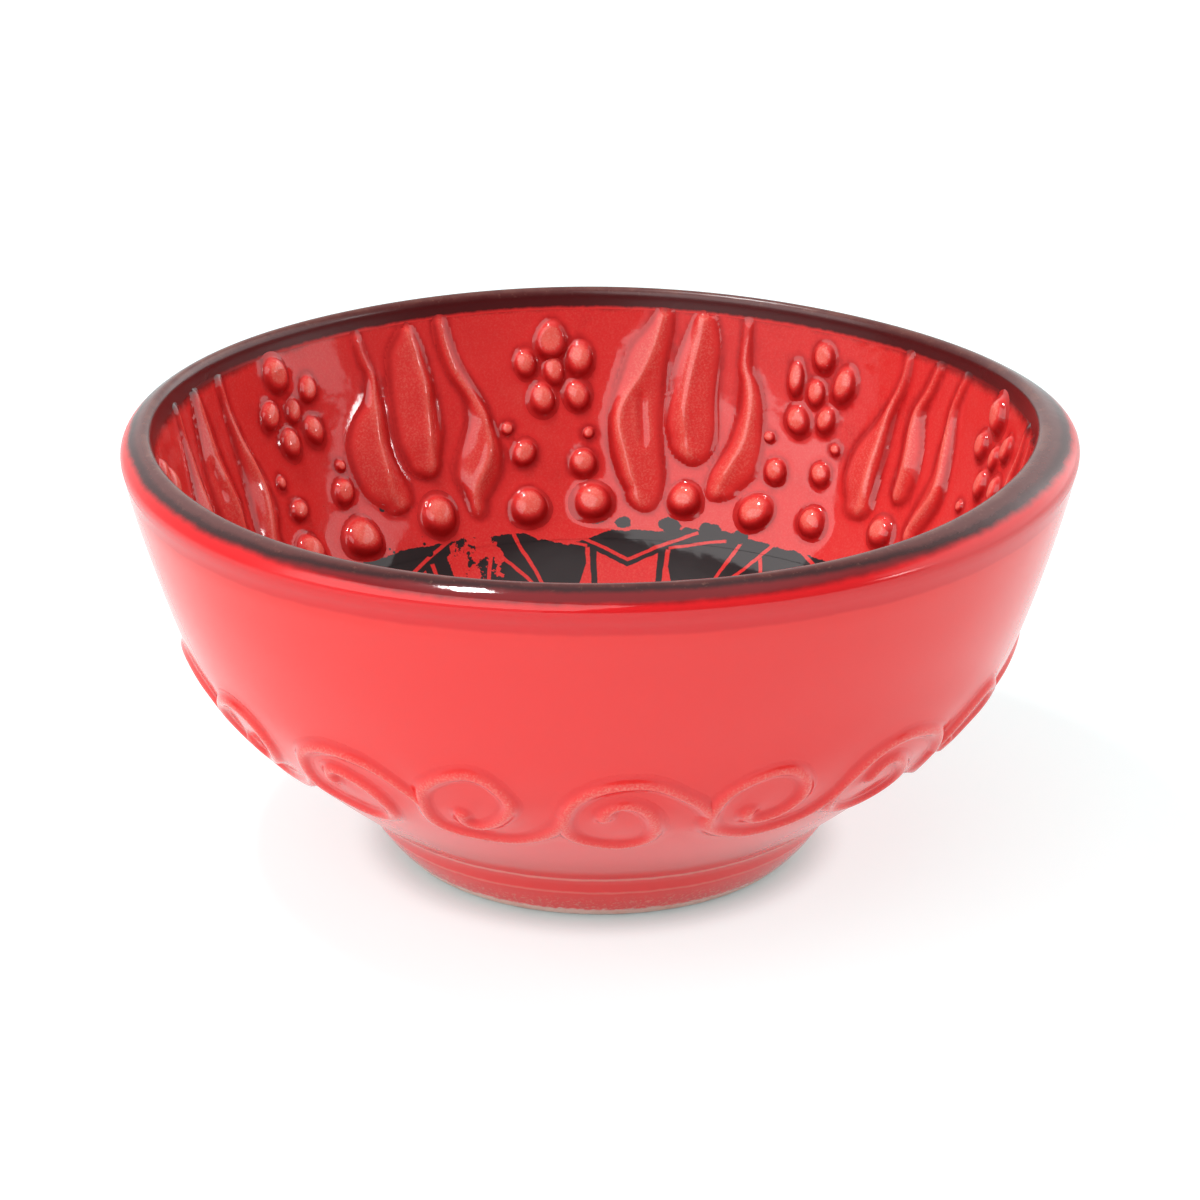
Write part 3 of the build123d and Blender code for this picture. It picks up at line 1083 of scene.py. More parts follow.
@dataclass
class Petal:
    """One drop-shaped petal of a tulip, drawn with a thin tail from the rim and a fat bulb.

    Attributes:
        down: Lengths down the wall of places from the tail down.
        left: The left edge at each, across.
        crest: The crest at each.
        right: The right edge at each.
        tall: The height at each.
        tip: Length down the wall, and place across, of the bulb's lower end.
        groove: Start and end down the wall, and place across, of a crease beside the crest.
    """

    down: tuple[float, ...]
    left: tuple[float, ...]
    crest: tuple[float, ...]
    right: tuple[float, ...]
    tall: tuple[float, ...]
    tip: Point
    groove: Optional[tuple[float, float, float]] = None
    seat: float = 42.5
    crest_mm: float = 0.36
    skirt: Skirt = Skirt(0.07, 0.8)
    table: np.ndarray = field(init=False)
    edge: np.ndarray = field(init=False)

    def __post_init__(self) -> None:
        """Draw the petal's lines once."""
        rows = even_line(np.stack((self.down, self.left, self.crest, self.right, self.tall), 1), 0.35)
        first, last = rows[0], rows[-1]
        start = np.array([[first[0] - 1.1, first[2], first[2], first[2], 0.0]])
        reach = self.tip[0] - last[0]
        ends = []
        for turn in np.linspace(0.0, math.pi / 2.0, 9)[1:]:
            keep = math.cos(turn)
            middle = self.tip[1]
            sides = [middle + (last[axis] - middle) * keep for axis in (1, 2, 3)]
            ends.append([last[0] + reach * math.sin(turn), *sides, last[4] * keep])
        self.table = np.vstack((start, rows, ends))
        base = INSIDE.run_at(self.seat)
        radius = INSIDE.at(self.table[:, 0])[0]
        left, right = (
            np.stack((radius * np.sin(self.table[:, side] / MOTIF_RADIUS), base - self.table[:, 0]), 1)
            for side in (1, 3)
        )
        self.edge = np.vstack((left, right[::-1]))

    def gap(self, across: np.ndarray, up: np.ndarray) -> np.ndarray:
        """Give the distance outside its edge."""
        best = np.full(across.shape, 1e9)
        for place in self.edge:
            best = np.minimum(best, np.hypot(across - place[0], up - place[1]))
        return np.where(self.share(across, up)[0] > 0.0, -best, best)

    def share(self, across: np.ndarray, up: np.ndarray) -> tuple[np.ndarray, np.ndarray, np.ndarray, np.ndarray]:
        """Find where places lie between the petal's edges.

        Args:
            across: Places to the right.
            up: Places up.

        Returns:
            The share from an edge to the crest, the distance off the crest, the height there and the run.
        """
        run = INSIDE.run_at(self.seat) - up
        offset = np.arcsin(np.clip(across / INSIDE.at(run)[0], -0.99, 0.99)) * MOTIF_RADIUS
        left, crest, right, tall = (np.interp(run, self.table[:, 0], self.table[:, axis]) for axis in (1, 2, 3, 4))
        low = (offset - left) / np.maximum(crest - left, 1e-3)
        high = (right - offset) / np.maximum(right - crest, 1e-3)
        share = np.where(offset < crest, low, high)
        within = (run > self.table[0, 0]) & (run < self.table[-1, 0]) & (share > 0.0)
        return np.where(within, share, 0.0), offset - crest, tall, run

    def shape(self, across: np.ndarray, up: np.ndarray) -> Places:
        """Give raw height, distance outside the slip and the skirt."""
        share, off_crest, tall, run = self.share(across, up)
        body = (1.0 - (1.0 - np.clip(share, 0.0, 1.0)) ** 1.35) ** 0.95
        ridge = 0.20 * bell(off_crest, self.crest_mm) * smooth_step(share, 0.1, 0.6)
        raw = tall * (0.82 * body + ridge) * smooth_step(run, 0.3, 2.4)
        if self.groove is not None:
            start, end, place = self.groove
            window = smooth_step(run, start, start + 2.0) * (1.0 - smooth_step(run, end - 2.0, end))
            crest = np.interp(run, self.table[:, 0], self.table[:, 2])
            raw = raw - 0.42 * bell(off_crest + crest - place, 0.38) * window * smooth_step(share, 0.0, 0.3)
        gap = self.gap(across, up)
        height = np.maximum(raw, 0.0) - 0.25 * (1.0 - smooth_step(run, 0.4, 1.1))
        return height, gap, self.skirt.at(gap) * smooth_step(run, 0.8, 2.2)

    def master(self, name: str) -> bpy.types.Object:
        """Shape the petal in the flat."""
        margin = 1.4
        low = tuple(self.edge.min(0) - margin)
        high = tuple(self.edge.max(0) + margin)
        piece = ReliefSheet(name, low, high, self.shape, melt=0.36, shown=0.6, body_tint=0.03).make()
        set_value(piece, RIM, RUN_AT_BAND - INSIDE.run_at(self.seat) + points_of(piece)[:, 1])
        return piece


TULIPS: tuple[tuple[Petal, ...], ...] = (
    (
        Petal(
            down=(1, 6, 9, 12, 15, 18, 21, 24),
            left=(-3.7, -4.5, -5.4, -6.8, -8.3, -9.2, -9.2, -7.8),
            crest=(-3.2, -3.8, -4.4, -4.7, -4.8, -4.7, -4.6, -4.6),
            right=(-2.7, -3.0, -3.6, -3.9, -3.8, -3.7, -3.6, -3.4),
            tall=(0.5, 0.6, 0.8, 1.0, 1.2, 1.35, 1.35, 1.1),
            tip=(26.0, -5.5),
        ),
        Petal(
            down=(1, 5, 8, 11, 14, 17, 20),
            left=(1.9, 0.5, -0.7, -1.0, -1.1, -0.9, -0.6),
            crest=(2.5, 1.3, 0.3, 0.2, 0.6, 0.9, 0.8),
            right=(3.1, 2.1, 1.1, 2.0, 2.8, 2.9, 2.6),
            tall=(0.5, 0.6, 0.8, 1.0, 1.2, 1.3, 1.1),
            tip=(22.0, 0.9),
        ),
        Petal(
            down=(0.5, 4, 7, 10, 13, 16, 19, 22, 25),
            left=(7.7, 6.6, 5.9, 6.0, 6.0, 5.8, 5.0, 4.4, 4.0),
            crest=(8.1, 7.2, 6.5, 6.8, 7.6, 8.3, 8.0, 6.6, 5.0),
            right=(8.6, 7.8, 7.2, 7.9, 8.6, 9.1, 9.2, 8.4, 7.0),
            tall=(0.5, 0.6, 0.7, 0.9, 1.1, 1.3, 1.3, 1.3, 0.9),
            tip=(27.0, 5.2),
        ),
    ),
    (
        Petal(
            down=(1, 4, 7, 10, 13, 16, 19, 22, 25, 27),
            left=(-5.4, -6.8, -8.6, -9.6, -10.4, -10.9, -11.1, -10.9, -9.8, -8.6),
            crest=(-4.9, -5.2, -5.6, -6.6, -8.4, -9.6, -9.9, -9.2, -8.3, -7.3),
            right=(-3.4, -3.3, -3.5, -3.7, -3.9, -4.1, -4.1, -3.9, -3.6, -3.6),
            tall=(0.7, 0.8, 0.95, 1.05, 1.15, 1.25, 1.35, 1.4, 1.3, 1.0),
            tip=(30.3, -5.4),
            groove=(12.0, 22.0, -6.6),
        ),
        Petal(
            down=(2, 5, 8, 11, 15, 18, 20),
            left=(-0.5, -1.6, -2.3, -2.8, -3.2, -3.2, -2.7),
            crest=(0.5, 0.2, -0.2, -0.5, -0.8, -0.6, -0.2),
            right=(2.2, 3.0, 3.2, 3.3, 3.4, 3.45, 3.3),
            tall=(0.7, 0.95, 1.1, 1.25, 1.4, 1.4, 1.2),
            tip=(22.8, 0.7),
        ),
        Petal(
            down=(0.5, 4, 8, 10, 12.5, 15, 18, 20, 22, 24, 26),
            left=(6.1, 6.0, 5.9, 6.3, 6.5, 6.4, 5.8, 5.2, 4.3, 3.5, 3.1),
            crest=(6.5, 6.5, 6.5, 7.2, 7.9, 8.3, 8.2, 7.7, 7.0, 6.3, 5.5),
            right=(6.9, 7.0, 7.4, 8.4, 9.5, 10.2, 10.7, 10.7, 10.5, 9.9, 8.3),
            tall=(0.45, 0.55, 0.7, 0.9, 1.05, 1.2, 1.35, 1.4, 1.4, 1.3, 0.9),
            tip=(27.6, 4.6),
        ),
    ),
    (
        Petal(
            down=(0.5, 3, 5.5, 8, 11, 13, 16, 19, 22, 24.5, 26.3),
            left=(-7.7, -7.3, -6.9, -6.6, -8.0, -9.9, -11.4, -11.8, -11.6, -10.5, -8.0),
            crest=(-7.4, -6.8, -6.4, -5.9, -6.8, -7.0, -7.1, -7.0, -6.8, -6.5, -5.5),
            right=(-7.0, -6.3, -5.9, -5.4, -5.3, -5.3, -5.2, -5.0, -4.4, -3.7, -3.6),
            tall=(0.45, 0.55, 0.65, 0.8, 1.0, 1.2, 1.3, 1.4, 1.4, 1.2, 0.8),
            tip=(27.3, -5.6),
        ),
        Petal(
            down=(2, 5, 8, 11, 15, 18, 21),
            left=(-1.0, -2.8, -3.3, -3.7, -3.8, -3.6, -2.9),
            crest=(0.2, 0.4, 0.6, 1.0, 0.9, 0.7, 0.5),
            right=(0.9, 1.6, 2.0, 2.4, 2.7, 2.75, 2.2),
            tall=(0.6, 0.8, 1.0, 1.2, 1.35, 1.4, 1.2),
            tip=(23.5, 0.1),
            groove=(11.0, 18.5, 1.9),
        ),
        Petal(
            down=(1, 4, 7, 9.5, 12, 14, 16.5, 19, 21.5, 24, 26, 28),
            left=(4.0, 4.0, 4.3, 5.0, 6.2, 7.0, 6.8, 5.6, 4.5, 4.1, 4.8, 5.5),
            crest=(4.6, 4.6, 5.0, 5.7, 7.2, 8.4, 9.4, 9.4, 8.6, 7.6, 6.8, 6.5),
            right=(5.2, 5.6, 6.1, 7.0, 8.2, 9.2, 10.2, 10.8, 10.9, 10.5, 9.6, 8.3),
            tall=(0.55, 0.65, 0.7, 0.75, 0.85, 1.0, 1.15, 1.3, 1.4, 1.4, 1.15, 0.8),
            tip=(30.0, 6.5),
            groove=(15.5, 20.5, 9.8),
        ),
    ),
    (
        Petal(
            down=(1, 6, 10, 14, 18, 22, 25),
            left=(-6.4, -6.6, -7.4, -9.0, -10.4, -10.4, -9.0),
            crest=(-5.9, -6.0, -6.3, -6.8, -7.4, -7.4, -6.8),
            right=(-5.3, -5.2, -5.0, -4.9, -4.8, -4.3, -4.2),
            tall=(0.5, 0.6, 0.8, 1.1, 1.3, 1.4, 1.1),
            tip=(28.0, -6.2),
        ),
        Petal(
            down=(1.5, 6, 10, 14, 18, 21),
            left=(-0.8, -1.6, -2.4, -3.1, -3.3, -2.6),
            crest=(0.0, 0.0, 0.2, 0.3, 0.3, 0.2),
            right=(0.7, 1.3, 2.0, 2.7, 3.0, 2.4),
            tall=(0.5, 0.7, 1.0, 1.2, 1.35, 1.1),
            tip=(23.5, 0.0),
            groove=(10.0, 17.0, -1.2),
        ),
        Petal(
            down=(0.8, 6, 10, 14, 18, 22, 25),
            left=(5.6, 5.4, 5.6, 5.6, 5.2, 4.6, 4.6),
            crest=(6.1, 6.0, 6.7, 7.6, 8.0, 7.2, 6.4),
            right=(6.6, 6.8, 7.8, 9.0, 10.0, 10.0, 8.8),
            tall=(0.5, 0.6, 0.8, 1.1, 1.3, 1.4, 1.1),
            tip=(28.0, 6.3),
        ),
    ),
)


@dataclass
class Vine:
    """The running stem and its scrolls, trailed round the outside."""

    scrolls: int = 18
    first_deg: float = -115.0
    seat: float = 24.0
    half_span: float = 7.1
    half_width: float = 0.92
    height: float = 0.70
    scroll_shares: tuple[Point, ...] = ((-0.35, 1.0), (0.31, 0.22), (-0.14, -0.42), (-0.45, -0.08))
    stem_low: Point = (-0.17, -1.0)
    step: float = 0.21

    @property
    def half_stretch(self) -> float:
        """Half the width of one scroll's stretch, along the wall."""
        radius = OUTSIDE.at(np.array([OUTSIDE.run_at(self.seat)]))[0][0]
        return float(radius) * math.sin(math.pi / self.scrolls)

    def trails(self, flip: int) -> list[Trail]:
        """Give the strokes of one stretch; flip turns it upside down."""
        half = self.half_stretch
        start = (-half, 0.0)
        stops = [(half * across, flip * self.half_span * up) for across, up in self.scroll_shares]
        scroll = arc_chain(start, (0.0, flip), stops, 24)
        low = (half * self.stem_low[0], flip * self.half_span * self.stem_low[1])
        stem = arc_chain(start, (0.0, -flip), [low, (half, 0.0)], 24)
        found = []
        for line in (scroll, stem):
            count = len(line)
            wide = np.full(count, self.half_width)
            tall = np.full(count, self.height)
            if line is scroll:
                wide = wide * np.interp(np.arange(count) / count, (0.0, 0.85, 1.0), (1.0, 0.95, 1.1))
            found.append(Trail(line, wide, tall))
        return found

    def shape(self, trails: list[Trail]) -> Callable[[np.ndarray, np.ndarray], Places]:
        """Give the function that shapes one stretch's sheet."""

        def heights(across: np.ndarray, up: np.ndarray) -> Places:
            """Give raw height, distance outside the slip and the skirt."""
            raw = np.zeros(across.shape)
            gap = np.full(across.shape, 99.0)
            skirt = np.zeros(across.shape)
            for trail in trails:
                away, index = trail.nearest(across, up)
                width = trail.widths[index]
                raw = np.maximum(raw, trail.heights[index] * dome((away + width) / width, 2.0))
                gap = np.minimum(gap, away)
                skirt = np.maximum(skirt, trail.skirt.at(away))
            return raw, gap, skirt

        return heights

    def master(self, flip: int) -> bpy.types.Object:
        """Shape one stretch in the flat."""
        side, rise = self.half_stretch + 2.2, self.half_span + 3.2
        glaze = {"thin_gain": 1.1, "thick_gain": 1.0, "body_tint": 0.0, "edge_pool": 0.06}
        shape = self.shape(self.trails(flip))
        return ReliefSheet("vine_master", (-side, -rise), (side, rise), shape, self.step, 0.26, 0.9, **glaze).make()


# ---------------------------------------------------------------- finishes


Number = Union[float, "Value"]


@dataclass
class Value:
    """A number that a material works out at each place."""

    graph: "Graph"
    socket: object

    def __add__(self, other: Number) -> "Value":
        """Add."""
        return self.graph.math("ADD", self, other)

    def __sub__(self, other: Number) -> "Value":
        """Take away."""
        return self.graph.math("SUBTRACT", self, other)

    def __rsub__(self, other: float) -> "Value":
        """Take this from a number."""
        return self.graph.math("SUBTRACT", other, self)

    def __mul__(self, other: Number) -> "Value":
        """Multiply."""
        return self.graph.math("MULTIPLY", self, other)

    __radd__ = __add__
    __rmul__ = __mul__

    def most(self, other: Number) -> "Value":
        """The larger of two."""
        return self.graph.math("MAXIMUM", self, other)

    def least(self, other: Number) -> "Value":
        """The smaller of two."""
        return self.graph.math("MINIMUM", self, other)

    def size(self) -> "Value":
        """The number without its sign."""
        return self.graph.math("ABSOLUTE", self, 0.0)

    def between(self, low: Number, high: Number) -> "Value":
        """Rise smoothly from 0 at low to 1 at high."""
        return self.graph.ramp(self, (low, high))

    def near(self, low: Number, high: Number) -> "Value":
        """Fall smoothly from 1 at low to 0 at high."""
        return 1.0 - self.between(low, high)


class Graph:
    """Builds the nodes of one material, or of the world."""

    def __init__(self, owner: Union[bpy.types.Material, bpy.types.World]) -> None:
        """Start with no nodes."""
        owner.use_nodes = True
        self.owner = owner
        self.tree = owner.node_tree
        self.tree.nodes.clear()
        self.place: Optional[object] = None

    def node(self, kind: str, **settings: object) -> bpy.types.Node:
        """Add a node and set its properties."""
        made = self.tree.nodes.new(kind)
        for name, value in settings.items():
            setattr(made, name, value)
        return made

    def plug(self, socket: object, value: object) -> None:
        """Link a value to a socket, or set the socket."""
        if isinstance(value, Value):
            value = value.socket
        if isinstance(value, bpy.types.NodeSocket):
            self.tree.links.new(value, socket)
        else:
            socket.default_value = value

    def math(self, operation: str, *terms: Number) -> Value:
        """Add an arithmetic node."""
        made = self.node("ShaderNodeMath", operation=operation)
        for socket, term in zip(made.inputs, terms):
            self.plug(socket, term)
        return Value(self, made.outputs[0])

    def ramp(self, value: Number, reach: tuple[Number, Number], result: Point = (0.0, 1.0)) -> Value:
        """Turn a stretch of a value smoothly into a stretch of results."""
        made = self.node("ShaderNodeMapRange", interpolation_type="SMOOTHSTEP")
        for name, term in zip(("Value", "From Min", "From Max", "To Min", "To Max"), (value, *reach, *result)):
            self.plug(made.inputs[name], term)
        return Value(self, made.outputs["Result"])

    def position(self) -> object:
        """Object coordinates, in metres."""
        if self.place is None:
            self.place = self.node("ShaderNodeTexCoord").outputs["Object"]
        return self.place

    def parts(self) -> tuple[Value, Value, Value]:
        """The three object coordinates in millimetres."""
        split = self.node("ShaderNodeSeparateXYZ")
        self.plug(split.inputs[0], self.position())
        return tuple(Value(self, output) * (1.0 / MM) for output in split.outputs)

    def polar(self) -> tuple[Value, Value]:
        """The distance from the axis in millimetres, and the angle round it in degrees."""
        side, back, _ = self.parts()
        return self.math("SQRT", side * side + back * back, 0.0), self.math("ARCTAN2", back, side) * DEGREES

    def stored(self, name: str) -> Value:
        """A value stored on the mesh."""
        return Value(self, self.node("ShaderNodeAttribute", attribute_name=name).outputs["Fac"])

    def grain(self, size_mm: float, detail: float = 3.0, rough: float = 0.55, seed: float = 0.0) -> Value:
        """Cloudy noise of a size in millimetres, about 0 to 1."""
        made = self.node("ShaderNodeTexNoise", noise_dimensions="4D")
        self.plug(made.inputs["Vector"], self.position())
        made.inputs["Scale"].default_value = 1.0 / (size_mm * MM)
        made.inputs["Detail"].default_value = detail
        made.inputs["Roughness"].default_value = rough
        made.inputs["W"].default_value = seed
        return Value(self, made.outputs["Fac"])

    def specks(self, size_mm: float) -> tuple[Value, Value]:
        """Scattered cells: distance to the nearest in cell sizes, and a random number for each."""
        made = self.node("ShaderNodeTexVoronoi", feature="F1")
        self.plug(made.inputs["Vector"], self.position())
        made.inputs["Scale"].default_value = 1.0 / (size_mm * MM)
        split = self.node("ShaderNodeSeparateColor")
        self.plug(split.inputs[0], made.outputs["Color"])
        return Value(self, made.outputs["Distance"]), Value(self, split.outputs[0])

    def colours(self, fac: Number, stops: Sequence[tuple[float, Colour]]) -> object:
        """A run of colours along a value."""
        made = self.node("ShaderNodeValToRGB")
        made.color_ramp.interpolation = "EASE"
        elements = made.color_ramp.elements
        while len(elements) < len(stops):
            elements.new(0.5)
        for element, (place, colour) in zip(elements, stops):
            element.position = place
            element.color = (*colour, 1.0)
        self.plug(made.inputs["Fac"], fac)
        return made.outputs["Color"]

    def mix(self, fac: Number, first: object, second: object, blend: str = "MIX") -> object:
        """Mix two colours."""
        made = self.node("ShaderNodeMix", data_type="RGBA", blend_type=blend)
        self.plug(made.inputs["Factor"], fac)
        for name, value in (("A", first), ("B", second)):
            socket = [one for one in made.inputs if one.name == name and one.type == "RGBA"][0]
            self.plug(socket, (*value, 1.0) if isinstance(value, tuple) else value)
        return [one for one in made.outputs if one.type == "RGBA"][0]

    def finish(self, colour: object, rough: Number, bump: Value, depth_mm: float, ior: float) -> bpy.types.Material:
        """Close the material with one shader.

        Args:
            colour: Base colour.
            rough: Roughness.
            bump: Height of the fine surface.
            depth_mm: Real depth of that height.
            ior: Index of refraction.

        Returns:
            The material.
        """
        shader = self.node("ShaderNodeBsdfPrincipled")
        self.plug(shader.inputs["Base Color"], colour)
        self.plug(shader.inputs["Roughness"], rough)
        shader.inputs["IOR"].default_value = ior
        relief = self.node("ShaderNodeBump")
        relief.inputs["Distance"].default_value = depth_mm * MM
        relief.inputs["Strength"].default_value = 1.0
        self.plug(relief.inputs["Height"], bump)
        self.plug(shader.inputs["Normal"], relief.outputs["Normal"])
        end = self.node("ShaderNodeOutputMaterial")
        self.plug(end.inputs["Surface"], shader.outputs["BSDF"])
        return self.owner


@dataclass(frozen=True)
class FloorPaint:
    """Black brushwork over the floor: a rosette of eight panels with red lines left between, and a ragged edge."""

    black: Colour = (0.026, 0.018, 0.019)
    panels: int = 8
    centre_deg: float = 84.8
    edge_down: float = 32.8
    blobs: tuple[tuple[float, float, float], ...] = (
        (90.6, 31.3, 0.75), (86.0, 31.9, 0.8), (77.5, 32.0, 1.1), (70.5, 32.3, 1.2), (64.5, 32.4, 1.0),
    )
    spatter: tuple[Point, ...] = ((2.1, 0.45), (1.1, 0.62))
    line_slope: float = 0.517

    def over(self, graph: "Graph", ground: object) -> object:
        """Paint over a colour.

        Args:
            graph: The material's nodes.
            ground: The glaze's own colour.

        Returns:
            The painted colour.
        """
        out, turn = graph.polar()
        pitch = 360.0 / self.panels
        swing = graph.math("WRAP", turn - self.centre_deg, pitch, -pitch)
        wobble = graph.grain(4.0, 3.0, 0.6) - 0.5
        fine = graph.grain(1.3, 4.0, 0.65) - 0.5
        down = RUN_AT_BAND - graph.stored(RIM)
        run = down + wobble * 0.5 + fine * 0.15
        wide = swing.size() + wobble * 0.9
        aside = wide.least(pitch - wide)
        red = self.panel(run, aside).most(self.lines(run, wide, aside)).most(self.middle(out + wobble, aside))
        red = red.most(self.broken(turn, run, graph.grain(2.2, 4.0, 0.6, 3.0)))
        dip = self.swell(turn, 96.0, 6.0) * 2.1 - self.swell(turn, 68.0, 9.0) * 0.9
        edge = dip + wobble * 2.6 + fine * 1.1 + self.edge_down
        red = red.most(run.near(edge, edge + 0.1))
        black = 1.0 - red
        for at_deg, at_down, reach in self.blobs:
            apart = self.squared((turn - at_deg) * 0.56) + self.squared(down - at_down)
            near = graph.math("SQRT", apart, 0.0) + fine * 1.3
            black = black.most(near.near(reach - 0.05, reach + 0.05))
        window = turn.between(110.0, 123.0) * turn.near(128.0, 156.0) * run.between(20.0, 27.0)
        for size, share in self.spatter:
            away, pick = graph.specks(size)
            radius = (pick - share).most(0.0) * 0.8 * window
            black = black.most((away - radius).near(-0.04, 0.0))
        return graph.mix(black, ground, self.black)

    def panel(self, run: "Value", aside: "Value") -> "Value":
        """The red panel under its notch, and the red gap beside it."""
        notch = 38.25 - aside * 0.367
        inside = aside.near(5.7, 5.85) * run.between(notch, notch + 0.1)
        gap_edge = (run - 38.0).most(0.0) * 0.5 + 7.9
        gap = aside.between(7.0, 7.15) * aside.near(gap_edge - 0.1, gap_edge + 0.1) * run.between(35.4, 35.6)
        return inside.most(gap) * run.near(51.0, 51.2)

    def lines(self, run: "Value", wide: "Value", aside: "Value") -> "Value":
        """The notch's red line, and the pairs of lines beside every panel.

        Args:
            run: Length down the wall.
            wide: Degrees from the middle of the nearest panel that lies over its neighbours.
            aside: Degrees from the middle of the nearest panel.

        Returns:
            1 on a line.
        """
        notch = self.band(run + aside * 0.367, 36.95, 37.5) * aside.near(15.0, 15.3)
        upper = self.band(run + wide * 0.19, 36.5, 36.95) * wide.between(7.4, 7.7) * wide.near(17.6, 18.0)
        rise = 40.0 - run
        near = self.band(wide - rise * self.line_slope, 16.8, 17.6)
        far_at = rise * 1.03 + 19.5
        far = self.band(wide - far_at, -0.45, 0.45)
        past = self.band(aside - rise * self.line_slope, 16.8, 17.6) * (wide - far_at).between(0.4, 0.6)
        return notch.most(upper).most(near.most(far).most(past) * run.near(50.0, 50.2))

    def middle(self, out: "Value", aside: "Value") -> "Value":
        """A thin ring and the small flower in the middle."""
        width = aside * out * (1.0 / DEGREES)
        ring = self.band(out, 19.4, 20.0)
        petals = self.band(out - width * 0.9, 8.0, 8.7) * out.near(17.0, 17.2)
        return ring.most(petals).most(out.near(3.4, 3.6))

    def broken(self, turn: "Value", run: "Value", cloud: "Value") -> "Value":
        """The red patches that broke through the black at the left."""
        window = turn.between(106.5, 109.5) * turn.near(117.0, 122.0)
        return (cloud + window * 0.42).between(0.86, 0.88) * run.between(31.0, 31.5)

    @staticmethod
    def squared(value: "Value") -> "Value":
        """A number times itself."""
        return value * value

    @staticmethod
    def swell(value: "Value", at: float, reach: float) -> "Value":
        """A smooth bump, 1 at a value."""
        return (value - at).size().near(0.0, reach * 1.6)

    @staticmethod
    def band(value: "Value", low: float, high: float) -> "Value":
        """1 between two values, with a painted edge."""
        return value.between(low - 0.06, low + 0.06) * value.near(high - 0.06, high + 0.06)


GLAZE_IOR = 1.5


def at_back(graph: Graph) -> Value:
    """1 at the bowl's far side, and 0 at the near one."""
    return (graph.polar()[1] - 90.0).size().near(30.0, 80.0)


@dataclass(frozen=True)
class RedGlaze:
    """Red glaze that is dark where it pools and breaks to coral where it runs thin over slip; outside, it also carries
    painted shade under the lip and painted highlight lines on the foot.
    """

    name: str
    deep: Colour
    pooled: Colour
    plain: Colour
    thin: Colour
    edge: Colour
    roughness: float = 0.08
    mottle: float = 0.16
    speckle: float = 0.0
    ripple_mm: float = 0.05
    paint: Optional[FloorPaint] = None
    brown: Colour = (0.075, 0.008, 0.009)
    brown_reach: float = 1.6
    painted_shade_under_rim: float = 0.0
    foot_marks_and_highlights: bool = False

    def material(self) -> bpy.types.Material:
        """Build the glaze."""
        graph = Graph(bpy.data.materials.new(self.name))
        cloud = (graph.grain(7.0, 4.0, 0.6) - 0.5) * self.mottle
        tint = graph.stored(GLAZE) + cloud + (graph.grain(0.5, 2.0) - 0.5) * 0.07
        colour = graph.colours(
            tint, ((0.0, self.deep), (0.26, self.pooled), (0.5, self.plain), (0.74, self.thin), (1.0, self.edge))
        )
        if self.speckle > 0.0:
            grains = graph.grain(0.30, 3.0, 0.7).between(0.42, 0.72)
            where = graph.stored(GLAZE).between(0.42, 0.64)
            colour = graph.mix(grains * where * self.speckle, colour, (0.92, 0.36, 0.27))
        if self.foot_marks_and_highlights:
            colour = self.paint_foot_marks_and_highlights(graph, colour)
        if self.painted_shade_under_rim > 0.0:
            # Painted shade: a darker band, in the colour of pooled glaze, just under the lip outside.
            rim = graph.stored(RIM) + (graph.grain(5.0, 2.0) - 0.5) * 0.5
            colour = graph.mix(rim.between(-self.painted_shade_under_rim - 0.25, -self.painted_shade_under_rim + 0.25), colour, self.pooled)
        else:
            rim = graph.stored(RIM) + (graph.grain(3.0, 4.0, 0.6) - 0.5) * 1.6
            rim = rim + (graph.grain(0.8, 3.0, 0.6) - 0.5) * 0.5 - at_back(graph) * 1.05
            colour = graph.mix(rim.between(-self.brown_reach, 0.35), colour, self.brown)
        if self.paint is not None:
            colour = self.paint.over(graph, colour)
        swell = graph.grain(4.5, 2.0, 0.5) * 0.8 + graph.grain(0.9, 2.0, 0.5) * 0.06
        return graph.finish(colour, self.roughness, swell, self.ripple_mm, GLAZE_IOR)

    def paint_foot_marks_and_highlights(self, graph: "Graph", colour: object) -> object:
        """Paint pale highlight lines at the foot's turned edges, with thin glaze on the ridge under the hollow corner;
        speckle the glaze lower down and wipe its ragged end.
        """
        height = graph.parts()[2] + (graph.grain(2.5, 4.0, 0.6) - 0.5) * 0.5
        # Painted highlights: pale lines at the hollow corner over the foot and at the turned ridge below it, where the
        # glaze also runs thin.
        for at, reach, share in ((7.35, 0.42, 0.55), (4.95, 0.30, 0.35)):
            line = (height - at).size().near(0.0, reach)
            colour = graph.mix(line * share, colour, (0.95, 0.42, 0.34))
        grains = graph.grain(0.45, 3.0, 0.6).between(0.50, 0.66)
        colour = graph.mix(grains * height.near(2.6, 4.6) * 0.5, colour, (0.90, 0.40, 0.30))
        wiped = (height + (graph.grain(0.9, 3.0, 0.6) - 0.5) * 1.2).near(1.25, 1.6)
        return graph.mix(wiped * 0.9, colour, (0.94, 0.74, 0.66))


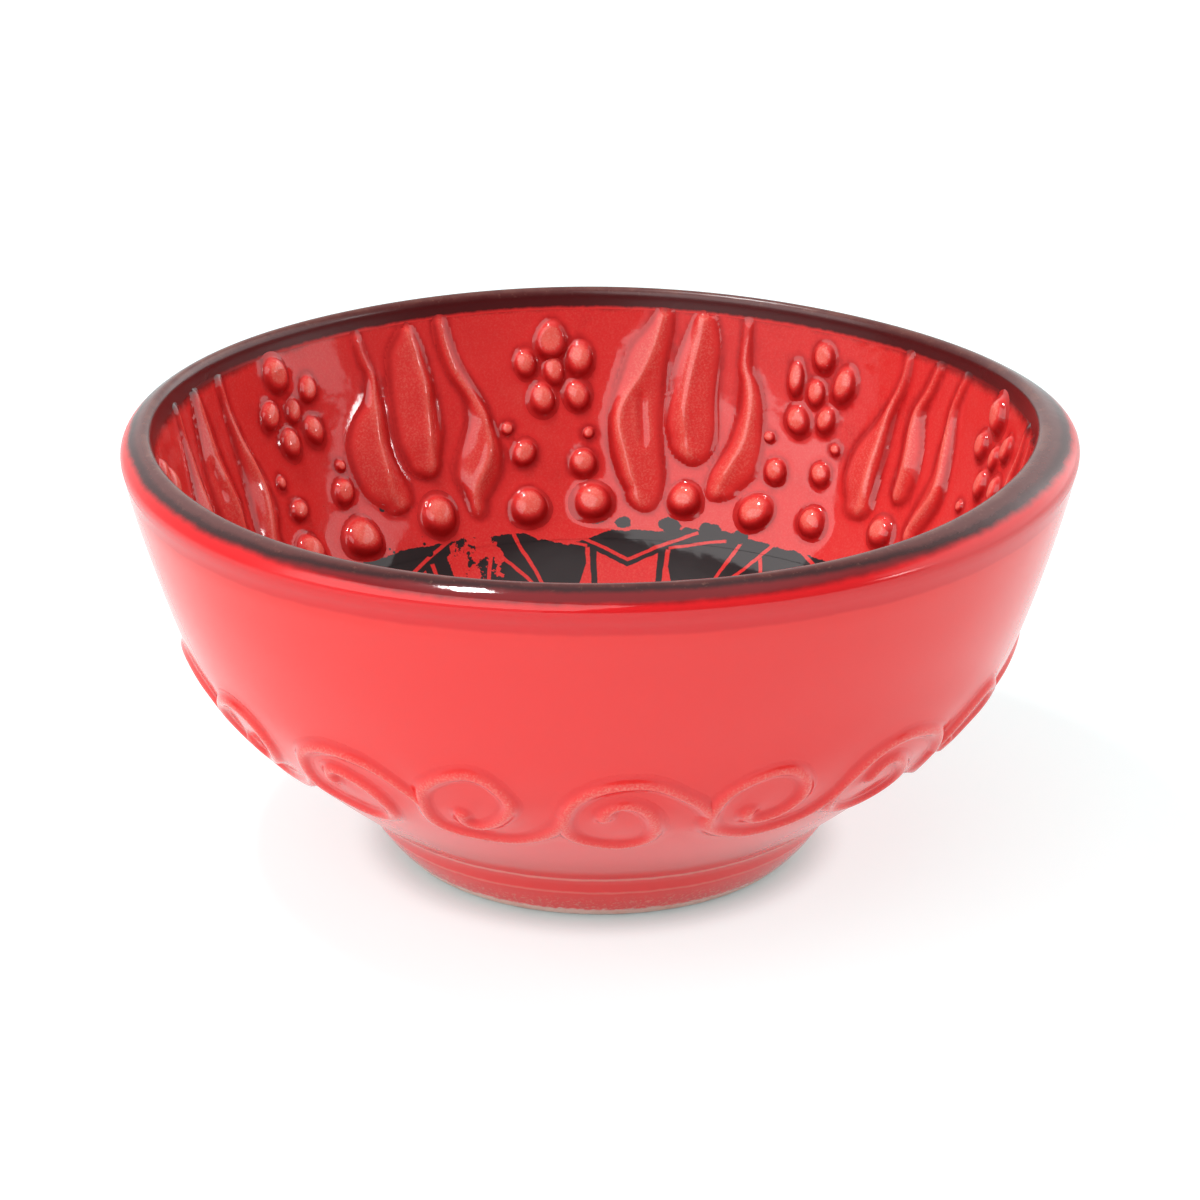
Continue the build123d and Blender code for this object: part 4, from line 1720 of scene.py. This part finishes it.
INNER_GLAZE = RedGlaze(
    name="inner_red_glaze",
    deep=(0.20, 0.004, 0.005),
    pooled=(0.40, 0.007, 0.009),
    plain=(0.76, 0.031, 0.030),
    thin=(0.82, 0.10, 0.078),
    edge=(0.90, 0.30, 0.23),
    mottle=0.34,
    speckle=0.3,
    ripple_mm=0.10,
    paint=FloorPaint(),
)
FLOOR_GLAZE = replace(INNER_GLAZE, name="painted_floor")
OUTER_GLAZE = RedGlaze(
    name="outer_red_glaze",
    deep=(0.42, 0.008, 0.011),
    pooled=(0.74, 0.014, 0.018),
    plain=(0.87, 0.034, 0.031),
    thin=(0.90, 0.095, 0.080),
    edge=(0.92, 0.22, 0.18),
    roughness=0.15,
    mottle=0.08,
    ripple_mm=0.03,
    painted_shade_under_rim=1.75,
    foot_marks_and_highlights=True,
)
SLIP_GLAZE = RedGlaze(
    name="slip_under_red_glaze",
    deep=(0.30, 0.006, 0.007),
    pooled=(0.42, 0.010, 0.011),
    plain=(0.76, 0.038, 0.035),
    thin=(0.90, 0.13, 0.10),
    edge=(0.95, 0.40, 0.32),
    speckle=0.45,
    ripple_mm=0.03,
)
VINE_GLAZE = replace(
    OUTER_GLAZE, name="vine_under_red_glaze", painted_shade_under_rim=0.0, foot_marks_and_highlights=False, mottle=0.10, brown_reach=0.5, speckle=0.5
)


@dataclass(frozen=True)
class RimGlaze:
    """Brown glaze over the lip, dark at the inside, thin on the crest with a painted highlight line along it, and
    fading outside into the darker red painted as shade under the lip.
    """

    name: str = "brown_rim_glaze"
    inside: Colour = (0.075, 0.007, 0.008)
    brown: Colour = (0.110, 0.026, 0.024)
    dark: Colour = (0.042, 0.007, 0.008)
    wine: Colour = (0.20, 0.009, 0.012)
    crest: Colour = (0.27, 0.11, 0.08)

    def material(self) -> bpy.types.Material:
        """Build the glaze."""
        graph = Graph(bpy.data.materials.new(self.name))
        turn = graph.polar()[1]
        streak = graph.grain(1.4, 5.0, 0.65)
        over = graph.stored(OVER) + (graph.grain(5.0, 3.0, 0.6) - 0.5) * 0.9 + (streak - 0.5) * 0.5
        beside = (turn + 90.0).size().between(15.0, 48.0)
        colour = graph.mix(over.between(-1.6, -0.5), self.inside, self.brown)
        colour = graph.mix((over - beside * 0.5).between(0.2, 0.9), colour, self.dark)
        colour = graph.mix((over - beside * 0.6).between(0.9, 1.7), colour, self.wine)
        # Painted shade: outside, the brown fades into the darker red that the outer coat paints under the lip.
        colour = graph.mix((over + beside * 0.7).between(2.4, 3.4), colour, OUTER_GLAZE.pooled)
        # Painted highlight over thin glaze: a broken pale line along the crest.
        line = (over + 0.25).size().near(0.15, 0.75) * graph.grain(4.0, 3.0, 0.6).between(0.38, 0.62)
        colour = graph.mix(line * 0.3, colour, self.crest)
        specks = graph.grain(0.8, 4.0, 0.7).between(0.56, 0.70) * over.size().near(0.6, 1.8)
        colour = graph.mix(specks * 0.35, colour, self.crest)
        bare = at_back(graph) * (graph.stored(RIM) + (streak - 0.5) * 0.6).near(0.1, 0.6)
        colour = graph.mix(bare * over.near(-1.5, -0.9), colour, INNER_GLAZE.plain)
        swell = graph.grain(3.0, 3.0, 0.5) * 0.7 + streak * 0.12
        return graph.finish(colour, beside * 0.2 + 0.06, swell, 0.05, GLAZE_IOR)


@dataclass(frozen=True)
class Clay:
    """Bare fired clay with fine grog."""

    name: str = "bare_clay"
    body: Colour = (0.93, 0.78, 0.69)
    stain: Colour = (0.86, 0.52, 0.42)

    def material(self) -> bpy.types.Material:
        """Build the clay."""
        graph = Graph(bpy.data.materials.new(self.name))
        cloud = graph.grain(5.0, 4.0, 0.6)
        colour = graph.mix(cloud.between(0.45, 0.75), self.body, self.stain)
        pits, _ = graph.specks(0.7)
        colour = graph.mix(pits.near(0.05, 0.2) * 0.3, colour, (0.5, 0.32, 0.25))
        return graph.finish(colour, 0.85, graph.grain(0.4, 4.0, 0.6) + pits * 0.4, 0.08, 1.45)


# ---------------------------------------------------------------- pieces


class Finishes:
    """Every material of the bowl, made once."""

    def __init__(self) -> None:
        """Build them all."""
        self.inner = INNER_GLAZE.material()
        self.outer = OUTER_GLAZE.material()
        self.slip = SLIP_GLAZE.material()
        self.vine = VINE_GLAZE.material()
        self.rim = RimGlaze().material()
        self.clay = Clay().material()
        self.floor = FLOOR_GLAZE.material()


def dress(piece: bpy.types.Object, material: bpy.types.Material, slot: Slot, *nodes: str) -> None:
    """Give a finished piece its material and body, and hide the CAD nodes that it replaces.

    Args:
        piece: The finished piece.
        material: Its material.
        slot: Its slot in the record; not used.
        nodes: CAD nodes that it replaces.
    """
    piece.data.materials.clear()
    piece.data.materials.append(material)
    if RIM not in piece.data.attributes:
        set_value(piece, RIM, np.full(len(piece.data.vertices), FAR_FROM_RIM))
    smooth(piece)
    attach(piece, "root")
    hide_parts(*nodes)
    LOG.info("%s: %d faces", piece.name, len(piece.data.polygons))


@dataclass
class Coats:
    """The glaze coats and the clay under them, all turned."""

    finishes: Finishes
    slip_inside: WallSlip
    slip_outside: WallSlip
    steps: int = 540
    ring_step: float = 0.6
    outer_step: float = 0.75
    rim_step: float = 0.28
    paint_radius: float = 43.5
    paint_lap: float = 0.5
    clay_gap: float = 0.12
    clay_gap_at_lip: float = 0.5

    def even(self, line: np.ndarray, step: float) -> np.ndarray:
        """Space an outline's points evenly."""
        run = lengths(line)
        count = max(2, int(math.ceil(run[-1] / step)))
        at = np.linspace(0.0, run[-1], count + 1)
        return np.stack([np.interp(at, run, line[:, axis]) for axis in (0, 1)], 1)

    def stretch(self, line: np.ndarray, axis: int, low: float = -math.inf, high: float = math.inf) -> np.ndarray:
        """Cut a stretch out of an outline, with exact ends.

        Args:
            line: The whole outline.
            axis: 0 to cut at radii, 1 to cut at heights.
            low: The least value kept.
            high: The greatest value kept.

        Returns:
            The stretch.
        """
        rows = [line[0]]
        for first, second in zip(line, line[1:]):
            inner = []
            for cut in (high, low):
                if min(first[axis], second[axis]) < cut < max(first[axis], second[axis]):
                    share = (cut - first[axis]) / (second[axis] - first[axis])
                    inner.append((share, first + share * (second - first)))
            rows += [point for _, point in sorted(inner, key=lambda pair: pair[0])] + [second]
        rows = np.array(rows)
        return rows[(rows[:, axis] >= low - 1e-9) & (rows[:, axis] <= high + 1e-9)]

    def ring_of(self, points: np.ndarray, line: np.ndarray) -> np.ndarray:
        """Find which of an outline's points each place was turned from."""
        radius, _, height = polar(points)
        found = np.zeros(len(points), int)
        nearest = np.full(len(points), 1e9)
        for index, place in enumerate(line):
            gap = np.hypot(radius - place[0], height - place[1])
            closer = gap < nearest
            nearest[closer] = gap[closer]
            found[closer] = index
        return found

    def coat(self, name: str, wall: TurnedWall, line: np.ndarray, slip: WallSlip) -> bpy.types.Object:
        """Turn one coat of glaze, thick enough to be a closed shell.

        Args:
            name: Name of the piece.
            wall: The wall that it lies on.
            line: Its visible outline.
            slip: The slip that it gathers round.

        Returns:
            The coat.
        """
        line = self.even(line, self.ring_step if wall is INSIDE else self.outer_step)
        piece = turned_up(name, line, self.steps, closed=False)
        self.settle(piece, wall, line, slip)
        face_out(piece)
        self.face_off(piece, wall)
        finish_modifier(piece, "SOLIDIFY", thickness=POT.coat * MM, offset=-1.0, use_even_offset=False)
        return piece

    def face_off(self, piece: bpy.types.Object, wall: TurnedWall) -> None:
        """Turn a sheet's faces to the air, so that its thickness goes into the clay."""
        face = piece.data.polygons[len(piece.data.polygons) // 2]
        middle = face.center / MM
        out = Vector((middle.x, middle.y, 0.0)).normalized()
        radius = math.hypot(middle.x, middle.y)
        index = int(np.argmin(np.hypot(wall.line[:, 0] - radius, wall.line[:, 1] - middle.z)))
        facing = wall.facing[index]
        if face.normal.dot(out * facing[0] + Vector((0.0, 0.0, facing[1]))) < 0.0:
            turn_over(piece)

    def settle(self, piece: bpy.types.Object, wall: TurnedWall, line: np.ndarray, slip: WallSlip) -> None:
        """Bend a turned sheet to the uneven lip, gather its glaze and store its values."""
        points = points_of(piece)
        radius, turn, low = polar(points)
        run = wall.run_at(line[0][1]) + lengths(line)[self.ring_of(points, line)]
        gathered, gap = slip.gather(points, run)
        _, height, out, rise = wall.at(run)
        swell = COAT_SINK * ripple(*points.T, 16.0, 2.7)
        off = gathered + (swell if wall is INSIDE else 0.4 * swell + POT.groove(height, turn)) - COAT_SINK
        away = radius + np.where(radius > 1e-6, off * out, 0.0)
        if wall is INSIDE:
            away = away - LIP.swell(turn, height)
        set_points(piece, around(away, turn, low + off * rise + LIP.lift(turn, low)))
        pooled, band = (0.17, BAND_INSIDE) if wall is INSIDE else (0.08, BAND_OUTSIDE)
        set_value(piece, GLAZE, 0.5 - pooled * (1.0 - smooth_step(gap, 0.15, 1.3)))
        set_value(piece, RIM, wall.run_at(band) - run)

    def rim(self) -> None:
        """Turn the brown coat over the lip."""
        inner = self.stretch(INSIDE.line, 1, low=BAND_INSIDE)
        outer = self.stretch(OUTSIDE.line, 1, low=BAND_OUTSIDE)
        line = self.even(np.vstack((inner[::-1], POT.glazed_lip()[1:-1], outer[-1:])), self.rim_step)
        piece = turned_up("rim_glaze_coat", line, self.steps, closed=False)
        points = points_of(piece)
        radius, turn, height = polar(points)
        inside = radius < 57.25
        run = lengths(line)
        set_value(piece, GLAZE, np.full(len(points), 0.5))
        set_value(piece, OVER, run[self.ring_of(points, line)] - run[int(np.argmax(line[:, 1]))])
        set_value(piece, RIM, np.where(inside, height - BAND_INSIDE, height - BAND_OUTSIDE))
        off = COAT_SINK * np.where(inside, 1.0, -1.0) * (1.0 - smooth_step(height, 55.6, 56.6))
        pinch = np.where(inside, 0.0, POT.groove(height, turn))
        thick = LIP.swell(turn, height) * (1.0 - smooth_step(radius, 56.2, 59.2))
        level = height + LIP.lift(turn, height) - COAT_SINK
        set_points(piece, around(radius + off + pinch - thick, turn, level))
        take(piece)
        face = max(piece.data.polygons, key=lambda one: one.center.z)
        if face.normal.z < 0.0:
            turn_over(piece)
        finish_modifier(piece, "SOLIDIFY", thickness=POT.coat * MM, offset=-1.0)
        dress(piece, self.finishes.rim, Slot.RIM, "rim_glaze")

    def build(self) -> None:
        """Make every coat and the clay."""
        self.rim()
        wall = self.stretch(INSIDE.line, 1, high=BAND_INSIDE)
        wall = wall[wall[:, 0] >= self.paint_radius - 1e-9]
        inner = self.coat("inner_glaze_coat", INSIDE, wall, self.slip_inside)
        dress(inner, self.finishes.inner, Slot.INNER, "inner_glaze")
        floor = self.stretch(INSIDE.line, 0, high=self.paint_radius + self.paint_lap)
        painted = self.coat("painted_floor", INSIDE, floor, self.slip_inside)
        dress(painted, self.finishes.floor, Slot.PAINT, "floor_medallion")
        outside = self.stretch(OUTSIDE.line, 1, POT.bare_height, BAND_OUTSIDE)
        outer = self.coat("outer_glaze_coat", OUTSIDE, outside, self.slip_outside)
        dress(outer, self.finishes.outer, Slot.OUTER, "outer_glaze")
        self.clay()
        self.foot()

    def clay(self) -> None:
        """Turn the clay wall and floor under the coats."""
        depth = POT.coat + self.clay_gap
        inner, outer = (
            wall.line
            - wall.facing * (depth + self.clay_gap_at_lip * smooth_step(wall.line[:, 1], 40.0, 50.0))[:, None]
            for wall in (INSIDE, OUTSIDE)
        )
        outer = outer[outer[:, 1] > POT.recess_depth]
        lip = POT.lip()
        half = POT.lip_thickness / 2.0
        middle = np.array((POT.rim_radius - half, POT.lip_top - half))
        lip = middle - np.array((0.0, 0.9)) + (lip - middle) * (1.0 - (depth + self.clay_gap_at_lip) / half)
        line = np.vstack((outer[::-1][::6], lip[::-1][::3], inner[::3]))
        line[-1] = (0.0, line[-1][1])
        piece = turned_up("clay_wall", line, 144, closed=False)
        close_below(piece, POT.recess_depth, (0.62, 0.5, 0.3))
        points = points_of(piece)
        _, turn, height = polar(points)
        points[:, 2] += LIP.lift(turn, height)
        set_points(piece, points)
        dress(piece, self.finishes.clay, Slot.CLAY, "clay_body")

    def foot(self) -> None:
        """Turn the foot ring with its bare, slightly worn edge."""
        low = (OUTSIDE.line[:, 1] < POT.recess_depth) & (OUTSIDE.line[:, 1] > 0.35)
        side, facing = OUTSIDE.line[low], OUTSIDE.facing[low]
        depth = np.where(side[:, 1] > POT.bare_height, POT.coat + 0.02, 0.06)
        side = side - facing * depth[:, None]
        inner_edge = POT.foot_base - POT.foot_rim
        line = np.vstack(
            (
                [(side[0][0], POT.recess_depth)],
                side,
                [(POT.foot_base - 0.02, 0.2), (POT.foot_base - 0.15, 0.05), (POT.foot_base - 0.4, 0.0)],
                [(inner_edge + 0.35, 0.0), (inner_edge + 0.1, 0.06), (inner_edge - 0.05, 0.3)],
                [(POT.recess_radius + 0.2, POT.recess_depth - 0.5), (POT.recess_radius, POT.recess_depth)],
            )
        )
        line = np.vstack((line, line[:1]))
        piece = turned_up("foot_ring_turned", line, 216, closed=True)
        points = points_of(piece)
        grit = 0.04 * ripple(*points.T, 1.1, 3.3)
        points[:, 2] = np.clip(points[:, 2] + np.where(points[:, 2] < 1.0, np.abs(grit), 0.0), 0.0, None)
        set_points(piece, points)
        dress(piece, self.finishes.clay, Slot.CLAY, "foot_ring")


@dataclass
class InnerOrnament:
    """The flowers, dots, tulips and beads round the inside."""

    finishes: Finishes
    repeats: int = 9
    first_deg: float = 18.5
    stray_deg: float = 2.8
    stray_start_deg: float = 28.0
    stray_waves: int = 2
    moved_deg: dict[int, float] = field(default_factory=lambda: {0: 15.6, 4: 184.5})

    def strayed(self, angle_deg: float) -> float:
        """Give where the maker's hand set a motif meant for an angle."""
        wave = math.radians(self.stray_waves * (angle_deg - self.stray_start_deg))
        return angle_deg - self.stray_deg * math.sin(wave)

    def motifs(self) -> list[Motif]:
        """List every motif with its marks in the flat."""
        found = []
        pitch = 360.0 / self.repeats
        for number in range(self.repeats):
            flower_at = self.moved_deg.get(number, self.strayed(self.first_deg + number * pitch))
            tulip_at = self.strayed(self.first_deg + (number + 0.5) * pitch)
            name = str(number + 1)
            for kind, form, angle in (
                ("flower_", FLOWERS[(number - 1) % len(FLOWERS)], flower_at),
                ("dot_pairs_", DOTS[(number - 1) % len(DOTS)], flower_at),
                ("ring_bead_", RING_BEADS[number % len(RING_BEADS)], tulip_at),
            ):
                found.append(Motif(kind + name, form.seat, angle, form.drops()))
            petals = TULIPS[number % len(TULIPS)]
            found.append(Motif("tulip_" + name, petals[0].seat, tulip_at, list(petals)))
        return found

    def build(self, motifs: list[Motif]) -> None:
        """Make the pieces of every motif."""
        form = BeadForm()
        bead = form.make()
        masters = {id(petal): petal.master("petal") for petals in TULIPS for petal in petals}
        for motif in motifs:
            petals = motif.node.startswith("tulip")
            if petals:
                parts = [copy_of(masters[id(mark)], "petal") for mark in motif.marks]
            else:
                parts = [form.laid(bead, mark) for mark in motif.marks]
            for part in parts:
                set_on_wall(part, INSIDE, motif.seat, math.radians(motif.angle_deg))
            piece = joined(parts, motif.node + "_slip")
            if petals:
                face_in(piece)
                finish_modifier(piece, "SOLIDIFY", thickness=SHEET_THICKNESS * MM, offset=-1.0)
            dress(piece, self.finishes.slip, Slot.SLIP, motif.node)
        for master in [bead, *masters.values()]:
            discard(master)


def face_in(piece: bpy.types.Object, outward: bool = False) -> None:
    """Turn a sheet's faces to the bowl's axis, or away from it."""
    total = sum(face.normal.dot(Vector((face.center.x, face.center.y, 0.0))) for face in piece.data.polygons)
    if (total > 0.0) != outward:
        turn_over(piece)


@dataclass
class OuterOrnament:
    """The running vine round the outside."""

    finishes: Finishes
    vine: Vine = field(default_factory=Vine)

    def motifs(self) -> list[Motif]:
        """List every stretch of vine with its strokes in the flat."""
        found = []
        pitch = 360.0 / self.vine.scrolls
        for number in range(self.vine.scrolls):
            flip = 1 if number % 2 == 0 else -1
            angle = self.vine.first_deg + (number + 0.5) * pitch
            found.append(Motif("vine_" + str(number // 2 + 1), self.vine.seat, angle, self.vine.trails(flip)))
        return found

    def build(self, motifs: list[Motif]) -> None:
        """Make the nine lengths of vine, each of two stretches."""
        masters = {1: self.vine.master(1), -1: self.vine.master(-1)}
        for first in range(0, len(motifs), 2):
            parts = []
            for offset, flip in ((0, 1), (1, -1)):
                part = copy_of(masters[flip], "stretch")
                motif = motifs[first + offset]
                set_on_wall(part, OUTSIDE, motif.seat, math.radians(motif.angle_deg))
                parts.append(part)
            piece = joined(parts, motifs[first].node + "_slip")
            face_in(piece, outward=True)
            finish_modifier(piece, "SOLIDIFY", thickness=SHEET_THICKNESS * MM, offset=-1.0)
            dress(piece, self.finishes.vine, Slot.VINE, motifs[first].node)
        for master in masters.values():
            discard(master)


# ---------------------------------------------------------------- stage


@dataclass(frozen=True)
class Lamp:
    """One soft lamp that faces the bowl: where it hangs, its width and height in metres, and its watts."""

    name: str
    azimuth_deg: float
    elevation_deg: float
    distance: float
    size: Point
    watts: float

    def hang(self) -> None:
        """Hang it."""
        data = bpy.data.lights.new(self.name, "AREA")
        data.shape = "RECTANGLE"
        data.size, data.size_y = self.size
        data.energy = self.watts
        lamp = bpy.data.objects.new(self.name, data)
        bpy.context.scene.collection.objects.link(lamp)
        turn = math.radians(self.azimuth_deg)
        rise = math.radians(self.elevation_deg)
        level = math.cos(rise)
        aim = Vector((0.0, 0.0, 0.03))
        lamp.location = aim + self.distance * Vector((math.cos(turn) * level, math.sin(turn) * level, math.sin(rise)))
        lamp.rotation_euler = (aim - lamp.location).to_track_quat("-Z", "Y").to_euler()


LAMPS = (
    Lamp("key", 180.0, 73.0, 1.0, (0.16, 0.09), 4.3),
    Lamp("left_low", -138.0, 11.0, 1.0, (1.40, 0.36), 0.8),
    Lamp("left_high", -131.0, 37.5, 1.0, (1.40, 0.76), 7.6),
    Lamp("right_card", 22.0, 20.0, 1.0, (1.45, 0.78), 4.8),
    Lamp("right_glint", -20.0, 16.0, 0.9, (0.07, 0.07), 0.42),
)


@dataclass
class Studio:
    """The plain floor, the soft light and the camera."""

    pitch_deg: float = 21.99
    distance: float = 0.480
    target_height: float = 0.02825
    lens: float = 112.57
    sensor: float = 36.0
    low_by_pixels: float = 27.1
    frame_pixels: float = 1200.0
    floor_lit: Colour = (0.80, 0.80, 0.80)
    floor_seen: Colour = (0.44, 0.51, 0.51)
    floor_glow: Colour = (0.93, 1.0, 1.0)
    # Painted contact shadow: the floor's glow is dimmer round the foot, seen mostly where the glaze mirrors the floor.
    painted_contact_shadow_reach: Point = (0.024, 0.033)
    glow_strength: Point = (0.20, 0.68)

    def camera(self) -> None:
        """Place the camera at the photograph's angle."""
        pitch = math.radians(self.pitch_deg)
        data = bpy.data.cameras.new("camera")
        data.lens = self.lens
        data.sensor_width = self.sensor
        data.clip_start = 0.01
        data.shift_y = self.low_by_pixels / self.frame_pixels
        camera = bpy.data.objects.new("camera", data)
        bpy.context.scene.collection.objects.link(camera)
        back = -self.distance * math.cos(pitch)
        camera.location = (0.0, back, self.target_height + self.distance * math.sin(pitch))
        camera.rotation_euler = (math.radians(90.0) - pitch, 0.0, 0.0)
        bpy.context.scene.camera = camera

    @staticmethod
    def rays(graph: Graph) -> tuple[Value, Value]:
        """Tell the camera's own rays, and those that a surface mirrors or lets through."""
        path = graph.node("ShaderNodeLightPath")
        camera, glossy, through = (
            Value(graph, path.outputs[name]) for name in ("Is Camera Ray", "Is Glossy Ray", "Is Transmission Ray")
        )
        return camera, glossy.most(through)

    def floor(self) -> None:
        """Lay the white floor, which keeps the bowl's shadow, with a painted contact shadow where its glow dims round
        the foot.
        """
        start_alone()
        bpy.ops.mesh.primitive_plane_add(size=6.0, location=(0.0, 0.0, -0.0002))
        floor = bpy.context.active_object
        floor.name = "floor"
        bpy.ops.object.transform_apply(location=True)
        graph = Graph(bpy.data.materials.new("white_floor"))
        lit, seen = (graph.node("ShaderNodeBsdfDiffuse") for _ in range(2))
        glow = graph.node("ShaderNodeEmission")
        for shader, colour in ((lit, self.floor_lit), (seen, self.floor_seen), (glow, self.floor_glow)):
            shader.inputs["Color"].default_value = (*colour, 1.0)
        out = graph.node("ShaderNodeVectorMath", operation="LENGTH")
        graph.plug(out.inputs[0], graph.position())
        away = Value(graph, out.outputs["Value"])
        # Painted contact shadow: the glow dims towards the foot.
        graph.plug(glow.inputs["Strength"], graph.ramp(away, self.painted_contact_shadow_reach, self.glow_strength))
        both = graph.node("ShaderNodeAddShader")
        pick = graph.node("ShaderNodeMixShader")
        end = graph.node("ShaderNodeOutputMaterial")
        camera, mirrored = self.rays(graph)
        for socket, value in (
            (both.inputs[0], seen.outputs[0]),
            (both.inputs[1], glow.outputs[0]),
            (pick.inputs[0], camera.most(mirrored)),
            (pick.inputs[1], lit.outputs[0]),
            (pick.inputs[2], both.outputs[0]),
            (end.inputs["Surface"], pick.outputs[0]),
        ):
            graph.plug(socket, value)
        floor.data.materials.append(graph.owner)

    def world(self) -> None:
        """Light the room softly from behind and above, white to the camera and, behind, to mirrored rays."""
        world = bpy.data.worlds.new("studio")
        bpy.context.scene.world = world
        graph = Graph(world)
        background = graph.node("ShaderNodeBackground")
        end = graph.node("ShaderNodeOutputWorld")
        graph.plug(end.inputs["Surface"], background.outputs[0])
        split = graph.node("ShaderNodeSeparateXYZ")
        graph.plug(split.inputs[0], graph.node("ShaderNodeTexCoord").outputs["Generated"])
        _, back, up = (Value(graph, output) for output in split.outputs)
        behind = graph.ramp(back, (-0.25, 0.45), (0.16, 0.54))
        above = graph.ramp(up, (0.75, 0.95), (0.0, 0.75))
        camera, mirrored = self.rays(graph)
        shown = camera.most(mirrored * graph.ramp(back, (0.30, 0.75)))
        graph.plug(background.inputs["Strength"], shown.most(behind.most(above)))
        background.inputs["Color"].default_value = (1.0, 1.0, 1.0, 1.0)

    def build(self) -> None:
        """Set the whole stage."""
        self.floor()
        self.world()
        self.camera()
        for lamp in LAMPS:
            lamp.hang()
        bpy.context.scene.view_settings.view_transform = "Standard"


def main() -> None:
    """Build the bowl, dress it and set the stage."""
    logging.basicConfig(level=logging.INFO, format="%(name)s: %(message)s")
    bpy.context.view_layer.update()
    finishes = Finishes()
    inner = InnerOrnament(finishes)
    outer = OuterOrnament(finishes)
    inner_motifs = inner.motifs()
    outer_motifs = outer.motifs()
    Coats(finishes, WallSlip(INSIDE, inner_motifs), WallSlip(OUTSIDE, outer_motifs)).build()
    inner.build(inner_motifs)
    outer.build(outer_motifs)
    Studio().build()


if __name__ == "__main__":
    main()
